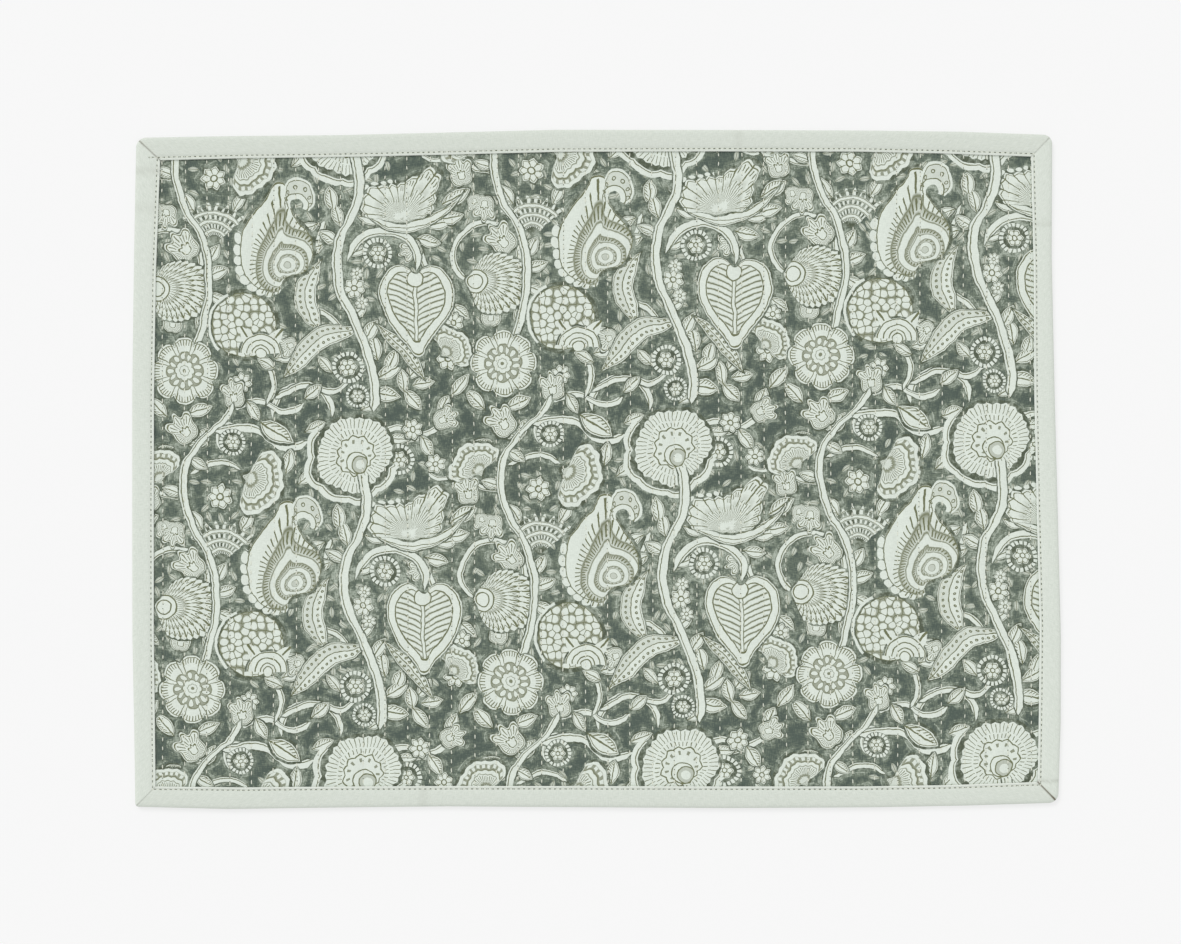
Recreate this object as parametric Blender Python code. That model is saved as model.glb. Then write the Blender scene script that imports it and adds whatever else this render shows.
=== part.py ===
"""A quilted, block-printed placemat with a mitred binding, as closed solids.

Metres, +Z up. The mat lies flat, with its long side along X and its short side along Y. The
origin is on the table, under the middle of the mat.
"""
import math
from collections import namedtuple

import bmesh
import bpy

MM = 0.001

# The mat's nominal rectangle. Its real edges bow in and out of it by the amounts in EDGES.
LENGTH = 480 * MM
DEPTH = 351 * MM
CORNER_RADIUS = 2.4 * MM

# The panel is face cloth, wadding and backing. It swells between the sewn rows, is drawn in at
# them, and is pressed thin where the binding holds its rim.
CROWN_THICKNESS = 2.95 * MM
SEWN_THICKNESS = 2.35 * MM
HELD_THICKNESS = 1.4 * MM

# The binding is doubled cotton, folded round the panel's rim with a little air between.
BINDING_THICKNESS = 1.0 * MM
AIR = 0.3 * MM
BINDING_HEIGHT = 2 * BINDING_THICKNESS + 2 * AIR + HELD_THICKNESS
FOLD_ROUND = 0.45 * MM

# The quilting: upright rows of running stitch, which lean and wander a little.
ROWS = 40
ROW_PITCH = 11.59 * MM
ROW_WANDER = 0.7 * MM
POINTS_PER_CHANNEL = 3
CHANNEL_END = 0.012

CORNER_STEPS = 3

# Each edge from left to right, or from bottom to top: the share of the way along it, how far the
# mat stands outside its nominal rectangle there, and the width of the binding that shows.
Station = namedtuple("Station", "along out_mm binding_mm")
EDGES = {
    "top": (
        Station(0.00, -2.9, 11.8),
        Station(0.10, -2.0, 11.6),
        Station(0.22, -1.5, 11.4),
        Station(0.34, -0.1, 11.6),
        Station(0.46, 1.3, 11.6),
        Station(0.64, 1.2, 11.3),
        Station(0.80, 0.9, 11.1),
        Station(0.90, 0.3, 11.5),
        Station(1.00, -1.4, 11.4),
    ),
    "bottom": (
        Station(0.00, 0.2, 10.7),
        Station(0.10, 1.4, 11.4),
        Station(0.22, 0.6, 11.1),
        Station(0.34, 0.0, 10.7),
        Station(0.46, 0.4, 11.1),
        Station(0.64, 0.9, 11.4),
        Station(0.80, 0.5, 11.0),
        Station(0.90, -0.4, 10.8),
        Station(1.00, -1.9, 10.9),
    ),
    "left": (
        Station(0.00, 0.2, 10.7),
        Station(0.12, 0.8, 10.9),
        Station(0.25, 1.7, 11.3),
        Station(0.42, 1.8, 11.4),
        Station(0.62, 1.8, 11.5),
        Station(0.82, 0.9, 11.6),
        Station(1.00, -0.3, 12.6),
    ),
    "right": (
        Station(0.00, 0.3, 10.8),
        Station(0.12, 1.6, 11.5),
        Station(0.25, 1.7, 11.2),
        Station(0.42, 0.2, 11.1),
        Station(0.62, -1.6, 10.7),
        Station(0.82, -3.1, 9.5),
        Station(1.00, -2.8, 11.2),
    ),
}


def read_edge(edge, along, column):
    """A column of an edge's table, in metres, at a share of the way along that edge."""
    for start, end in zip(EDGES[edge], EDGES[edge][1:]):
        if along <= end.along:
            share = (along - start.along) / (end.along - start.along)
            low, high = getattr(start, column), getattr(end, column)
            return (low + (high - low) * share) * MM
    return getattr(EDGES[edge][-1], column) * MM


def at_rim(depth):
    """An inset of one depth all the way round."""
    return lambda edge, along: depth


def at_binding(extra=0.0):
    """An inset to the binding's inner edge, and a little more."""
    return lambda edge, along: read_edge(edge, along, "binding_mm") + extra


def reach(edge, along, inset):
    """How far out an edge lies from the mat's middle, moved in by an inset."""
    half = LENGTH / 2 if edge in ("left", "right") else DEPTH / 2
    return half + read_edge(edge, along, "out_mm") - inset(edge, along)


def place(across, up, inset):
    """The point at a share of the way across and up the mat, inside its bowed outline."""
    left, right = -reach("left", up, inset), reach("right", up, inset)
    bottom, top = -reach("bottom", across, inset), reach("top", across, inset)
    return left + (right - left) * across, bottom + (top - bottom) * up


def fabric(name, colour, roughness):
    """A plain cloth material."""
    material = bpy.data.materials.new(name)
    material.use_nodes = True
    surface = material.node_tree.nodes["Principled BSDF"]
    surface.inputs["Base Color"].default_value = (*colour, 1)
    surface.inputs["Roughness"].default_value = roughness
    surface.inputs["Metallic"].default_value = 0.0
    material.diffuse_color = (*colour, 1)
    return material


def solid(name, shape, material):
    """A finished object from a bmesh."""
    bmesh.ops.recalc_face_normals(shape, faces=shape.faces)
    bmesh.ops.triangulate(shape, faces=shape.faces)
    mesh = bpy.data.meshes.new(name)
    shape.to_mesh(mesh)
    shape.free()
    mesh.materials.append(material)
    thing = bpy.data.objects.new(name, mesh)
    bpy.context.collection.objects.link(thing)
    return thing


def row_shift(number, up):
    """How far a sewn row has wandered sideways at a share of the way up the mat."""
    lean = math.sin(1.7 * number) * (up - 0.5)
    wander = math.sin(2.3 * number + 5.0 * up)
    return ROW_WANDER * (0.6 * lean + 0.4 * wander)


def channel_lines():
    """The upright lines of points on the quilted face, as pairs of place in rows and swell."""
    lines = []
    for point in range((ROWS - 1) * POINTS_PER_CHANNEL + 1):
        share = point % POINTS_PER_CHANNEL / POINTS_PER_CHANNEL
        lines.append((point / POINTS_PER_CHANNEL, math.sin(math.pi * share) ** 0.7))
    return lines


def quilted_panel(material):
    """The quilted centre: channels on its face, a flat underside, and a thin rim that is held."""
    shape = bmesh.new()
    lines = channel_lines()
    ups = sorted({station.along for station in EDGES["left"]} | {CHANNEL_END, 1 - CHANNEL_END})
    last_line, last_up = len(lines) - 1, len(ups) - 1
    first_row = -(ROWS - 1) * ROW_PITCH / 2
    field = at_binding(4 * AIR)

    def across_at(line):
        """The share of the way across the mat of one upright line of points."""
        if line in (0, last_line):
            return float(line > 0)
        return 0.5 + (first_row + lines[line][0] * ROW_PITCH) / LENGTH

    def face_point(line, level):
        """A point of the quilted field, drawn in at the rows and at the field's border."""
        rows, swell = lines[line]
        up = ups[level]
        before = math.floor(rows)
        between = rows - before
        shift = row_shift(before, up) * (1 - between) + row_shift(before + 1, up) * between
        x, y = place(across_at(line), up, field)
        if 0 < line < last_line:
            x = first_row + rows * ROW_PITCH + shift
        if level in (0, last_up):
            swell = 0.0
        return x, y, SEWN_THICKNESS + (CROWN_THICKNESS - SEWN_THICKNESS) * swell

    below = [(line, 0) for line in range(last_line)]
    right = [(last_line, level) for level in range(last_up)]
    above = [(line, last_up) for line in range(last_line, 0, -1)]
    left = [(0, level) for level in range(last_up, 0, -1)]
    border = below + right + above + left

    def ring(inset, height, corner_cut=0.0):
        """One ring of points round the panel, a point for each on the field's border."""
        points = {}
        for line, level in border:
            x, y = place(across_at(line), ups[level], inset)
            if line in (0, last_line) and level in (0, last_up):
                x -= math.copysign(corner_cut, x)
                y -= math.copysign(corner_cut, y)
            points[line, level] = shape.verts.new((x, y, height))
        return points

    field_points = {
        (line, level): shape.verts.new(face_point(line, level))
        for line in range(last_line + 1)
        for level in range(last_up + 1)
    }
    for line in range(last_line):
        for level in range(last_up):
            cell = ((line, level), (line + 1, level), (line + 1, level + 1), (line, level + 1))
            shape.faces.new([field_points[key] for key in cell])

    rim = at_rim(BINDING_THICKNESS + AIR)
    rim_foot = BINDING_THICKNESS + AIR
    rounding = CORNER_RADIUS * (1 - math.cos(math.pi / 4)) + AIR
    rings = [
        field_points,
        ring(rim, rim_foot + HELD_THICKNESS, rounding),
        ring(rim, rim_foot, rounding),
        ring(at_binding(AIR), rim_foot),
        ring(field, 0.0),
    ]
    for inner, outer in zip(rings, rings[1:]):
        for here, following in zip(border, border[1:] + border[:1]):
            wall = (inner[here], inner[following], outer[following], outer[here])
            shape.faces.new(wall)
    shape.faces.new([rings[-1][key] for key in border])
    return solid("quilted_panel", shape, material)


def corner_point(across, up, turn, level_side):
    """A point on a rounded outer corner, from the mitre (turn 0) to where the side is straight."""
    x, y = place(across, up, at_rim(0.0))
    swing = math.radians(45 + 45 * turn if level_side else 45 - 45 * turn)
    x -= math.copysign(CORNER_RADIUS * (1 - math.cos(swing)), x)
    y -= math.copysign(CORNER_RADIUS * (1 - math.sin(swing)), y)
    return x, y


def binding_section(width):
    """The strip's folded section: depths from its outer edge, as shares of its width, and heights."""
    top, wall, fold = BINDING_HEIGHT, BINDING_THICKNESS, FOLD_ROUND
    depths_and_heights = (
        (width, top - wall),
        (width, top - 0.3 * wall),
        (width - fold, top),
        (3 * fold, top),
        (fold, top - fold),
        (0.0, top - 3 * fold),
        (0.0, 3 * fold),
        (fold, fold),
        (3 * fold, 0.0),
        (width, 0.0),
        (width, wall),
        (wall, wall),
        (wall, top - wall),
    )
    return [(depth / width, height) for depth, height in depths_and_heights]


def binding_strip(edge, material):
    """One side's strip, folded round the panel's rim and cut to a mitre at both ends."""
    shape = bmesh.new()
    level_side = edge in ("top", "bottom")
    far_side = edge in ("top", "right")
    rounded = CORNER_RADIUS / (LENGTH if level_side else DEPTH)

    def shares(along):
        """The shares across and up the mat at a share of the way along this side."""
        return (along, float(far_side)) if level_side else (float(far_side), along)

    def station(along, turn=None):
        """The strip's outer and inner point at a share of the way along it."""
        inner = place(*shares(along), at_binding())
        if turn is None:
            return place(*shares(along), at_rim(0.0)), inner
        return corner_point(*shares(round(along)), turn, level_side), inner

    turns = [step / CORNER_STEPS for step in range(CORNER_STEPS + 1)]
    start = [(rounded * turn, turn) for turn in turns]
    middle = [(row.along, None) for row in EDGES[edge][1:-1]]
    finish = [(1 - rounded * turn, turn) for turn in reversed(turns)]

    sections = []
    for along, turn in start + middle + finish:
        outer, inner = station(along, turn)
        mitre_air = 0.0
        if turn == 0:
            mitre_air = math.copysign(AIR / math.sqrt(2), 0.5 - along)
        points = []
        for share, height in binding_section(read_edge(edge, along, "binding_mm")):
            x, y = (a + (b - a) * share for a, b in zip(outer, inner))
            if level_side:
                x += mitre_air
            else:
                y += mitre_air
            points.append(shape.verts.new((x, y, height)))
        sections.append(points)

    for first, second in zip(sections, sections[1:]):
        for k, point in enumerate(first):
            wall = (first[k - 1], point, second[k], second[k - 1])
            shape.faces.new(wall)
    shape.faces.new(sections[0])
    shape.faces.new(sections[-1])
    return solid(f"binding_{edge}", shape, material)


for thing in list(bpy.data.objects):
    bpy.data.objects.remove(thing, do_unlink=True)

printed_cotton = fabric("printed_cotton", (0.33, 0.38, 0.35), 0.9)
binding_cotton = fabric("binding_cotton", (0.66, 0.72, 0.66), 0.9)
quilted_panel(printed_cotton)
for side in EDGES:
    binding_strip(side, binding_cotton)
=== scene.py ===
"""A quilted, block-printed placemat with a mitred binding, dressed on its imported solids."""
import math
from collections import namedtuple

import bmesh
import bpy
import numpy as np
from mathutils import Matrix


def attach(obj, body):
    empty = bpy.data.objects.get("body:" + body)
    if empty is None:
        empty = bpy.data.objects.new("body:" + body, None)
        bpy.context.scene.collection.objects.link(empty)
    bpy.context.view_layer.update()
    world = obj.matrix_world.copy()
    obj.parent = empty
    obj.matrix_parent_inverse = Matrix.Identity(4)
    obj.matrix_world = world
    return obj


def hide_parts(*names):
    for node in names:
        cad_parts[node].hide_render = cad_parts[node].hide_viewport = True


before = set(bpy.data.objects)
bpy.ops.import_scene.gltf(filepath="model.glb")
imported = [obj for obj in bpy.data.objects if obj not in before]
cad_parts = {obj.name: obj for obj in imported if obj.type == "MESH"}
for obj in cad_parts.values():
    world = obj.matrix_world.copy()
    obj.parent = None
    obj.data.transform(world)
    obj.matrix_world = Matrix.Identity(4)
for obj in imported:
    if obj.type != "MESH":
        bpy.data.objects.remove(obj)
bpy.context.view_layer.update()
MM = 0.001


# The printed face. One panel of thin plain-weave cotton, block printed with a trailing floral in
# pale grey-green on a dark ground, then sewn to the wadding in upright rows that draw it in.
# Its rim runs on under the binding.
LENGTH, DEPTH = 480 * MM, 351 * MM
CROWN_HEIGHT, SEWN_HEIGHT, HELD_HEIGHT = 2.95 * MM, 2.35 * MM, 2.62 * MM
MIDDLE = 1.61 * MM  # the height at which the face and its wadding meet the backing
RIM_INSET = 3.0 * MM
ROWS, ROW_PITCH, ROW_WANDER = 40, 11.59 * MM, 0.7 * MM
FIRST_ROW = -(ROWS - 1) * ROW_PITCH / 2
STITCH_PERIOD = 4.75 * MM
CROWN_POWER, UNEVEN_SHARE = 0.7, 0.10
PULL_SHARE, PULL_REACH = 0.30, 0.16  # how much a stitch draws the cloth in, and how far off its row
LINES_PER_PITCH, LEVELS = 10, 225
MARGIN_LINES = (1.0, 0.72, 0.48, 0.3, 0.14)

# Each edge from left to right, or from bottom to top: the share of the way along it, how far the
# mat stands outside its nominal rectangle there, and the width of the binding that shows.
Station = namedtuple("Station", "along out_mm binding_mm")
EDGES = {
    "top": (
        Station(0.00, -2.9, 11.8),
        Station(0.10, -2.0, 11.6),
        Station(0.22, -1.5, 11.4),
        Station(0.34, -0.1, 11.6),
        Station(0.46, 1.3, 11.6),
        Station(0.64, 1.2, 11.3),
        Station(0.80, 0.9, 11.1),
        Station(0.90, 0.3, 11.5),
        Station(1.00, -1.4, 11.4),
    ),
    "bottom": (
        Station(0.00, 0.2, 10.7),
        Station(0.10, 1.4, 11.4),
        Station(0.22, 0.6, 11.1),
        Station(0.34, 0.0, 10.7),
        Station(0.46, 0.4, 11.1),
        Station(0.64, 0.9, 11.4),
        Station(0.80, 0.5, 11.0),
        Station(0.90, -0.4, 10.8),
        Station(1.00, -1.9, 10.9),
    ),
    "left": (
        Station(0.00, 0.2, 10.7),
        Station(0.12, 0.8, 10.9),
        Station(0.25, 1.7, 11.3),
        Station(0.42, 1.8, 11.4),
        Station(0.62, 1.8, 11.5),
        Station(0.82, 0.9, 11.6),
        Station(1.00, -0.3, 12.6),
    ),
    "right": (
        Station(0.00, 0.3, 10.8),
        Station(0.12, 1.6, 11.5),
        Station(0.25, 1.7, 11.2),
        Station(0.42, 0.2, 11.1),
        Station(0.62, -1.6, 10.7),
        Station(0.82, -3.1, 9.5),
        Station(1.00, -2.8, 11.2),
    ),
}


def read_edge(edge, share, column):
    """A column of an edge's table, in metres, at shares of the way along that edge."""
    rows = EDGES[edge]
    return np.interp(share, [row.along for row in rows], [getattr(row, column) for row in rows]) * MM


def edge_line(edge, share, inset=0.0, bindings=0.0):
    """How far out an edge runs, moved in by an inset and by a number of binding widths."""
    half = LENGTH / 2 if edge in ("left", "right") else DEPTH / 2
    line = half + read_edge(edge, share, "out_mm") - inset - bindings * read_edge(edge, share, "binding_mm")
    return line if edge in ("right", "top") else -line


def row_shift(number, up):
    """How far a sewn row has wandered sideways at shares of the way up the mat."""
    lean = np.sin(1.7 * number) * (up - 0.5)
    wander = np.sin(2.3 * number + 5.0 * up)
    return ROW_WANDER * (0.6 * lean + 0.4 * wander)


def row_x(rows, up):
    """The x of a place counted in rows, at shares of the way up the mat."""
    before = np.floor(rows)
    between = rows - before
    shift = row_shift(before, up) * (1 - between) + row_shift(before + 1, up) * between
    return FIRST_ROW + rows * ROW_PITCH + shift


def smooth(value, low, high):
    """0 below low, 1 above high, and a soft step between."""
    share = np.clip((value - low) / (high - low), 0, 1)
    return share * share * (3 - 2 * share)


def swell(rows, up, y):
    """How full the wadding stands, from 0 at a sewn row to 1, with a pull at each stitch."""
    last = ROWS - 1
    between = np.clip(rows, 0, last) % 1.0
    full = np.sin(np.pi * between) ** CROWN_POWER
    full = np.where((rows < 0) | (rows > last), 0.35, full)
    nearest = np.round(rows)
    off = np.abs(rows - nearest)
    pull = 0.5 + 0.5 * np.cos(2 * np.pi * y / STITCH_PERIOD + 2.1 * nearest)
    uneven = UNEVEN_SHARE * np.sin(41 * up + 1.9 * nearest) * np.sin(17 * up + 0.8 * rows)
    return full + uneven * full - PULL_SHARE * np.exp(-((off / PULL_REACH) ** 2)) * pull + 0.06


def panel_points():
    """The panel's points as grids of rows counted across, shares up, x and y."""
    inner = np.arange((ROWS - 1) * LINES_PER_PITCH + 1) / LINES_PER_PITCH
    up = np.linspace(0, 1, LEVELS)[:, None]
    x = row_x(inner[None, :], up)
    left, right = edge_line("left", up, RIM_INSET), edge_line("right", up, RIM_INSET)
    margins = np.array(MARGIN_LINES)[None, :]
    first, last = x[:, :1], x[:, -1:]
    x = np.hstack((first + (left - first) * margins, x, last + (right - last) * margins[:, ::-1]))
    rows = np.hstack((-margins[0], inner, inner[-1] + margins[0, ::-1])) + 0 * up
    across = x / LENGTH + 0.5
    bottom, top = edge_line("bottom", across, RIM_INSET), edge_line("top", across, RIM_INSET)
    return rows, up + 0 * x, x, bottom + (top - bottom) * up


def inside_binding(up, x, y):
    """How far points lie inside the binding's inner edge, in metres."""
    across = x / LENGTH + 0.5
    gaps = (
        x - edge_line("left", up, 0.0, 1),
        edge_line("right", up, 0.0, 1) - x,
        y - edge_line("bottom", across, 0.0, 1),
        edge_line("top", across, 0.0, 1) - y,
    )
    return np.minimum.reduce(gaps)


def closed_panel(name, heights, floor):
    """A closed mesh: a fine face over the panel's points, and one flat face at another height."""
    rows, up, x, y = panel_points()
    points = np.stack((x, y, heights(rows, up, x, y)), axis=-1)
    levels, lines = x.shape
    border = [(0, k) for k in range(lines)] + [(k, lines - 1) for k in range(1, levels)]
    border += [(levels - 1, k) for k in range(lines - 2, -1, -1)]
    border += [(k, 0) for k in range(levels - 2, 0, -1)]
    places = points.reshape(-1, 3).tolist()
    first = len(places)
    places += [(*points[key][:2].tolist(), floor) for key in border]
    corner = np.arange((levels - 1) * lines).reshape(levels - 1, lines)[:, :-1].ravel()
    faces = np.stack((corner, corner + 1, corner + lines + 1, corner + lines), axis=-1).tolist()
    for k, (level, line) in enumerate(border):
        following = border[(k + 1) % len(border)]
        here, after = level * lines + line, following[0] * lines + following[1]
        faces.append((after, here, first + k, first + (k + 1) % len(border)))
    faces.append(tuple(range(first + len(border) - 1, first - 1, -1)))
    if floor > points[..., 2].mean():
        faces = [tuple(reversed(face)) for face in faces]
    mesh = bpy.data.meshes.new(name)
    mesh.from_pydata(places, [], faces)
    mesh.shade_smooth()
    return mesh


def finished(name, mesh, material):
    """A piece from its mesh and material, at the origin."""
    mesh.materials.clear()
    mesh.materials.append(material)
    piece = bpy.data.objects.new(name, mesh)
    bpy.context.collection.objects.link(piece)
    return piece


def face_height(rows, up, x, y):
    """The printed face: quilted inside the binding, held flat under it."""
    quilted = SEWN_HEIGHT + (CROWN_HEIGHT - SEWN_HEIGHT) * swell(rows, up, y)
    inside = smooth(inside_binding(up, x, y), -0.4 * MM, 3.2 * MM)
    return HELD_HEIGHT + (quilted - HELD_HEIGHT) * inside


class Value:
    """A number, vector or colour that varies over a surface. Arithmetic on it adds Math nodes."""

    def __init__(self, tree, socket=None):
        self.tree = tree
        self.socket = socket

    def node(self, kind, sockets=None, out=0, stops=None, points=None, **settings):
        """Another node of the same tree: its settings first, then its sockets' values or links."""
        made = self.tree.nodes.new(kind)
        for name, setting in settings.items():
            setattr(made, name, setting)
        if stops:
            ramp = made.color_ramp.elements
            while len(ramp) < len(stops):
                ramp.new(0.5)
            for element, (position, shade) in zip(ramp, stops):
                element.position = position
                element.color = shade if isinstance(shade, tuple) else (shade, shade, shade, 1)
        if points:
            curve = made.mapping.curves[0]
            for x, y in points[1:-1]:
                curve.points.new(x, y)
            curve.points[0].location, curve.points[-1].location = points[0], points[-1]
            made.mapping.update()
        for key, value in (sockets or {}).items():
            if isinstance(value, Value):
                self.tree.links.new(value.socket, made.inputs[key])
            else:
                made.inputs[key].default_value = value
        return Value(self.tree, made.outputs[out])

    def math(self, operation, *others):
        return self.node("ShaderNodeMath", dict(enumerate((self, *others))), operation=operation)

    def vector(self, operation, *others, out=0):
        return self.node("ShaderNodeVectorMath", dict(enumerate((self, *others))), out, operation=operation)

    def __add__(self, other):
        return self.math("ADD", other)

    __radd__ = __add__

    def __sub__(self, other):
        return self.math("SUBTRACT", other)

    def __rsub__(self, other):
        return self.node("ShaderNodeMath", {0: other, 1: self}, operation="SUBTRACT")

    def __mul__(self, other):
        return self.math("MULTIPLY", other)

    __rmul__ = __mul__

    def __truediv__(self, other):
        return self.math("DIVIDE", other)

    def __abs__(self):
        return self.math("ABSOLUTE")

    def __lt__(self, other):
        return self.math("LESS_THAN", other)

    def __gt__(self, other):
        return self.math("GREATER_THAN", other)

    def near(self, other, reach):
        """1 where this is within reach of the other, 0 elsewhere."""
        return self.math("COMPARE", other, reach)

    def saw(self, count):
        """How far this is from the nearest of a count of even places: 0 there, 0.5 between."""
        return (self * count).math("PINGPONG", 0.5)

    def ramp(self, *stops):
        """A shade read along a row of (position, shade) stops."""
        return self.node("ShaderNodeValToRGB", {0: self}, stops=stops)

    def follow(self, points):
        """A smooth curve through given (position, height) points, all from 0 to 1."""
        return self.node("ShaderNodeFloatCurve", {"Factor": 1.0, "Value": self}, points=points)

    def fade(self, start, end, low=1.0, high=0.0):
        """From low at start to high at end, and flat beyond them."""
        return self.node("ShaderNodeMapRange", {0: self, 1: start, 2: end, 3: low, 4: high})

    def length(self):
        return self.vector("LENGTH", out="Value")

    def along(self, *direction):
        """How far a vector goes in a direction."""
        return self.vector("DOT_PRODUCT", direction, out="Value")

    def pick(self, low, high, kind="FLOAT"):
        """The low value where this is 0, the high one where it is 1, and a blend between."""
        first = {"FLOAT": 2, "VECTOR": 4, "RGBA": 6}[kind]
        sockets = {0: self, first: low, first + 1: high}
        return self.node("ShaderNodeMix", sockets, out={2: 0, 4: 1, 6: 2}[first], data_type=kind)

    def axes(self):
        """A vector's x and y."""
        return self.along(1, 0, 0), self.along(0, 1, 0)

    def around(self):
        """A vector's length, and its share of a turn: 0 to the left, 0.25 below, 0.5 to the right."""
        x, y = self.axes()
        return self.length(), y.math("ARCTAN2", x).math("MULTIPLY_ADD", 1 / math.tau, 0.5)


def both(mask, *others):
    """Where a mask and all the others are 1."""
    for other in others:
        mask = mask * other
    return mask


def either(mask, *others):
    """Where a mask or any of the others is 1."""
    for other in others:
        mask = mask.math("MAXIMUM", other)
    return mask


def in_millimetres(place):
    return place.node("ShaderNodeVectorMath", {0: place, "Scale": 1 / MM}, operation="SCALE")


def cuts(turn, count, width, rho, middle, half):
    """A ring of short radial cuts: how many, how wide, and the band of the figure they lie in."""
    return both(turn.saw(count) < width, rho.near(middle, half))


def outline(turn, biggest, *degrees_and_reaches):
    """A closed outline's reach in millimetres at a share of a turn, drawn through given points."""
    points = [(degrees / 360 + 0.5, reach / biggest) for degrees, reach in degrees_and_reaches]
    return turn.follow(points) * biggest


# Each figure below is one carved block's, in millimetres round its own middle. It gives where the
# block prints, how pale it prints there (0 on its cut lines, 1 elsewhere), and the halo round it.
def paisley(place):
    """A curled drop of bands crowded to its lower right, with combed edges and a petal fringe."""
    reach, turn = place.around()
    edge = outline(
        turn, 42.0,
        (-180, 21.2), (-158, 20.4), (-136, 19.1), (-116, 17.1), (-99, 14.5), (-84, 10.0), (-60, 9.6),
        (-32, 13.2), (-5, 15.6), (19, 18.0), (41, 19.9), (62, 21.9), (76, 26.0), (82, 31.5), (86, 40.0),
        (90, 40.5), (97, 36.5), (103, 32.8), (122, 27.9), (140, 25.4), (160, 23.0), (180, 21.2),
    )
    rough = reach / edge
    from_ring = place.vector("SUBTRACT", (3.2, -2.6, 0.0)).length()
    rho = from_ring / ((edge - 10.0) * rough + 10.0) * 0.80
    tone = rho.ramp(
        (0.00, 0.7), (0.12, 0.7), (0.135, 0.0), (0.15, 1.0), (0.27, 1.0), (0.285, 0.0), (0.30, 0.8),
        (0.35, 0.45), (0.365, 0.0), (0.38, 1.0), (0.47, 1.0), (0.485, 0.0), (0.50, 0.8), (0.56, 0.4),
        (0.575, 0.0), (0.59, 1.0), (0.67, 1.0), (0.683, 0.0), (0.70, 0.85), (0.76, 0.5), (0.775, 0.0),
        (0.79, 1.0), (1.0, 1.0),
    )
    comb = either(cuts(turn, 44, 0.12, rho, 0.815, 0.03), cuts(turn, 56, 0.2, rho, 0.735, 0.03))
    beads = either(cuts(turn, 26, 0.16, rho, 0.33, 0.02), cuts(turn, 42, 0.2, rho, 0.535, 0.025))
    fringe, height = turn.saw(26) * 1.5, (reach - edge - 1.4) * 0.34
    petals = both(fringe * fringe + height * height < 0.5, either(turn > 0.90, turn < 0.24))
    tone = tone * (1 - either(comb, beads)) * (1 - rough.near(0.985, 0.012))
    return either(rough < 1.0, petals), tone, (reach - edge).fade(1.0, 6.0)


def curl(place):
    """The paisley's rolled tip: a crescent with punched dots, wound round a small dark eye."""
    reach, turn = place.around()
    edge = outline(
        turn, 16.0,
        (-180, 6.4), (-120, 5.6), (-60, 5.6), (-25, 7.2), (0, 9.4), (20, 10.8), (45, 12.4), (62, 14.2),
        (88, 14.8), (110, 12.4), (135, 8.6), (160, 6.9), (180, 6.4),
    )
    depth = reach - edge
    tone = either(reach < 6.0, depth > -1.3)
    lines = either(reach.near(6.2, 0.26), depth.near(-1.5, 0.22))
    ring, bead = (reach * 2 - edge - 4.7) * 0.5, turn.saw(12) * 5.4
    dots = both((ring * ring + bead * bead).near(0.9, 0.5), turn > 0.5)
    tone = either(tone, 0.84) * (1 - either(lines, dots))
    rolled = either(turn > 0.42, turn < 0.06)
    return both(depth < 0.0, reach > 3.3, rolled), tone, depth.fade(0.3, 5.0, 0.8)


def bloom(place):
    """A wide ribbed flower seen face on, with a wavy rim round its left and lower sides."""
    reach, turn = place.around()
    edge = outline(
        turn, 30.0,
        (-180, 20.4), (-150, 21.6), (-120, 19.6), (-90, 19.6), (-60, 17.0), (-30, 16.6), (0, 19.6),
        (30, 20.6), (60, 21.6), (90, 20.1), (120, 21.0), (150, 20.2), (180, 20.4),
    )
    rho = reach / edge
    ribs = cuts(turn, 52, 0.085, rho, 0.83, 0.12)
    inner = cuts(turn, 38, 0.10, rho, 0.61, 0.06)
    petal = turn.saw(11)
    scallops = (rho - petal * 0.14).near(0.46, 0.018)
    seeds = both(petal > 0.36, rho.near(0.37, 0.05))
    eye = place.vector("SUBTRACT", (0.4, -3.4, 0.0))
    hook = eye.vector("SUBTRACT", (1.6, -1.0, 0.0)).length()
    disc, inside = eye.length() < 5.6, hook < 4.4
    lines = either(ribs, inner, scallops, seeds * 0.8)
    eye_tone = 1 - either(hook.near(4.4, 0.3), both(inside, hook > 2.4) * 0.4)
    tone = disc.pick(1 - lines, eye_tone) * (1 - eye.length().near(5.6, 0.3))
    wave = turn.saw(9)
    rim = reach - edge - wave * (1 - wave) * 6.8
    rimmed = either(turn < 0.46, turn > 0.90)
    band = both(rim.near(3.0, 1.8), rimmed)
    tone = band.pick(tone, 1 - rim.near(2.2, 0.25))
    figure = either(reach + turn.saw(26) * 2.0 < edge, band)
    return figure, tone, (rimmed * -4.0 + reach - edge).fade(0.8, 5.5)


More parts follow.
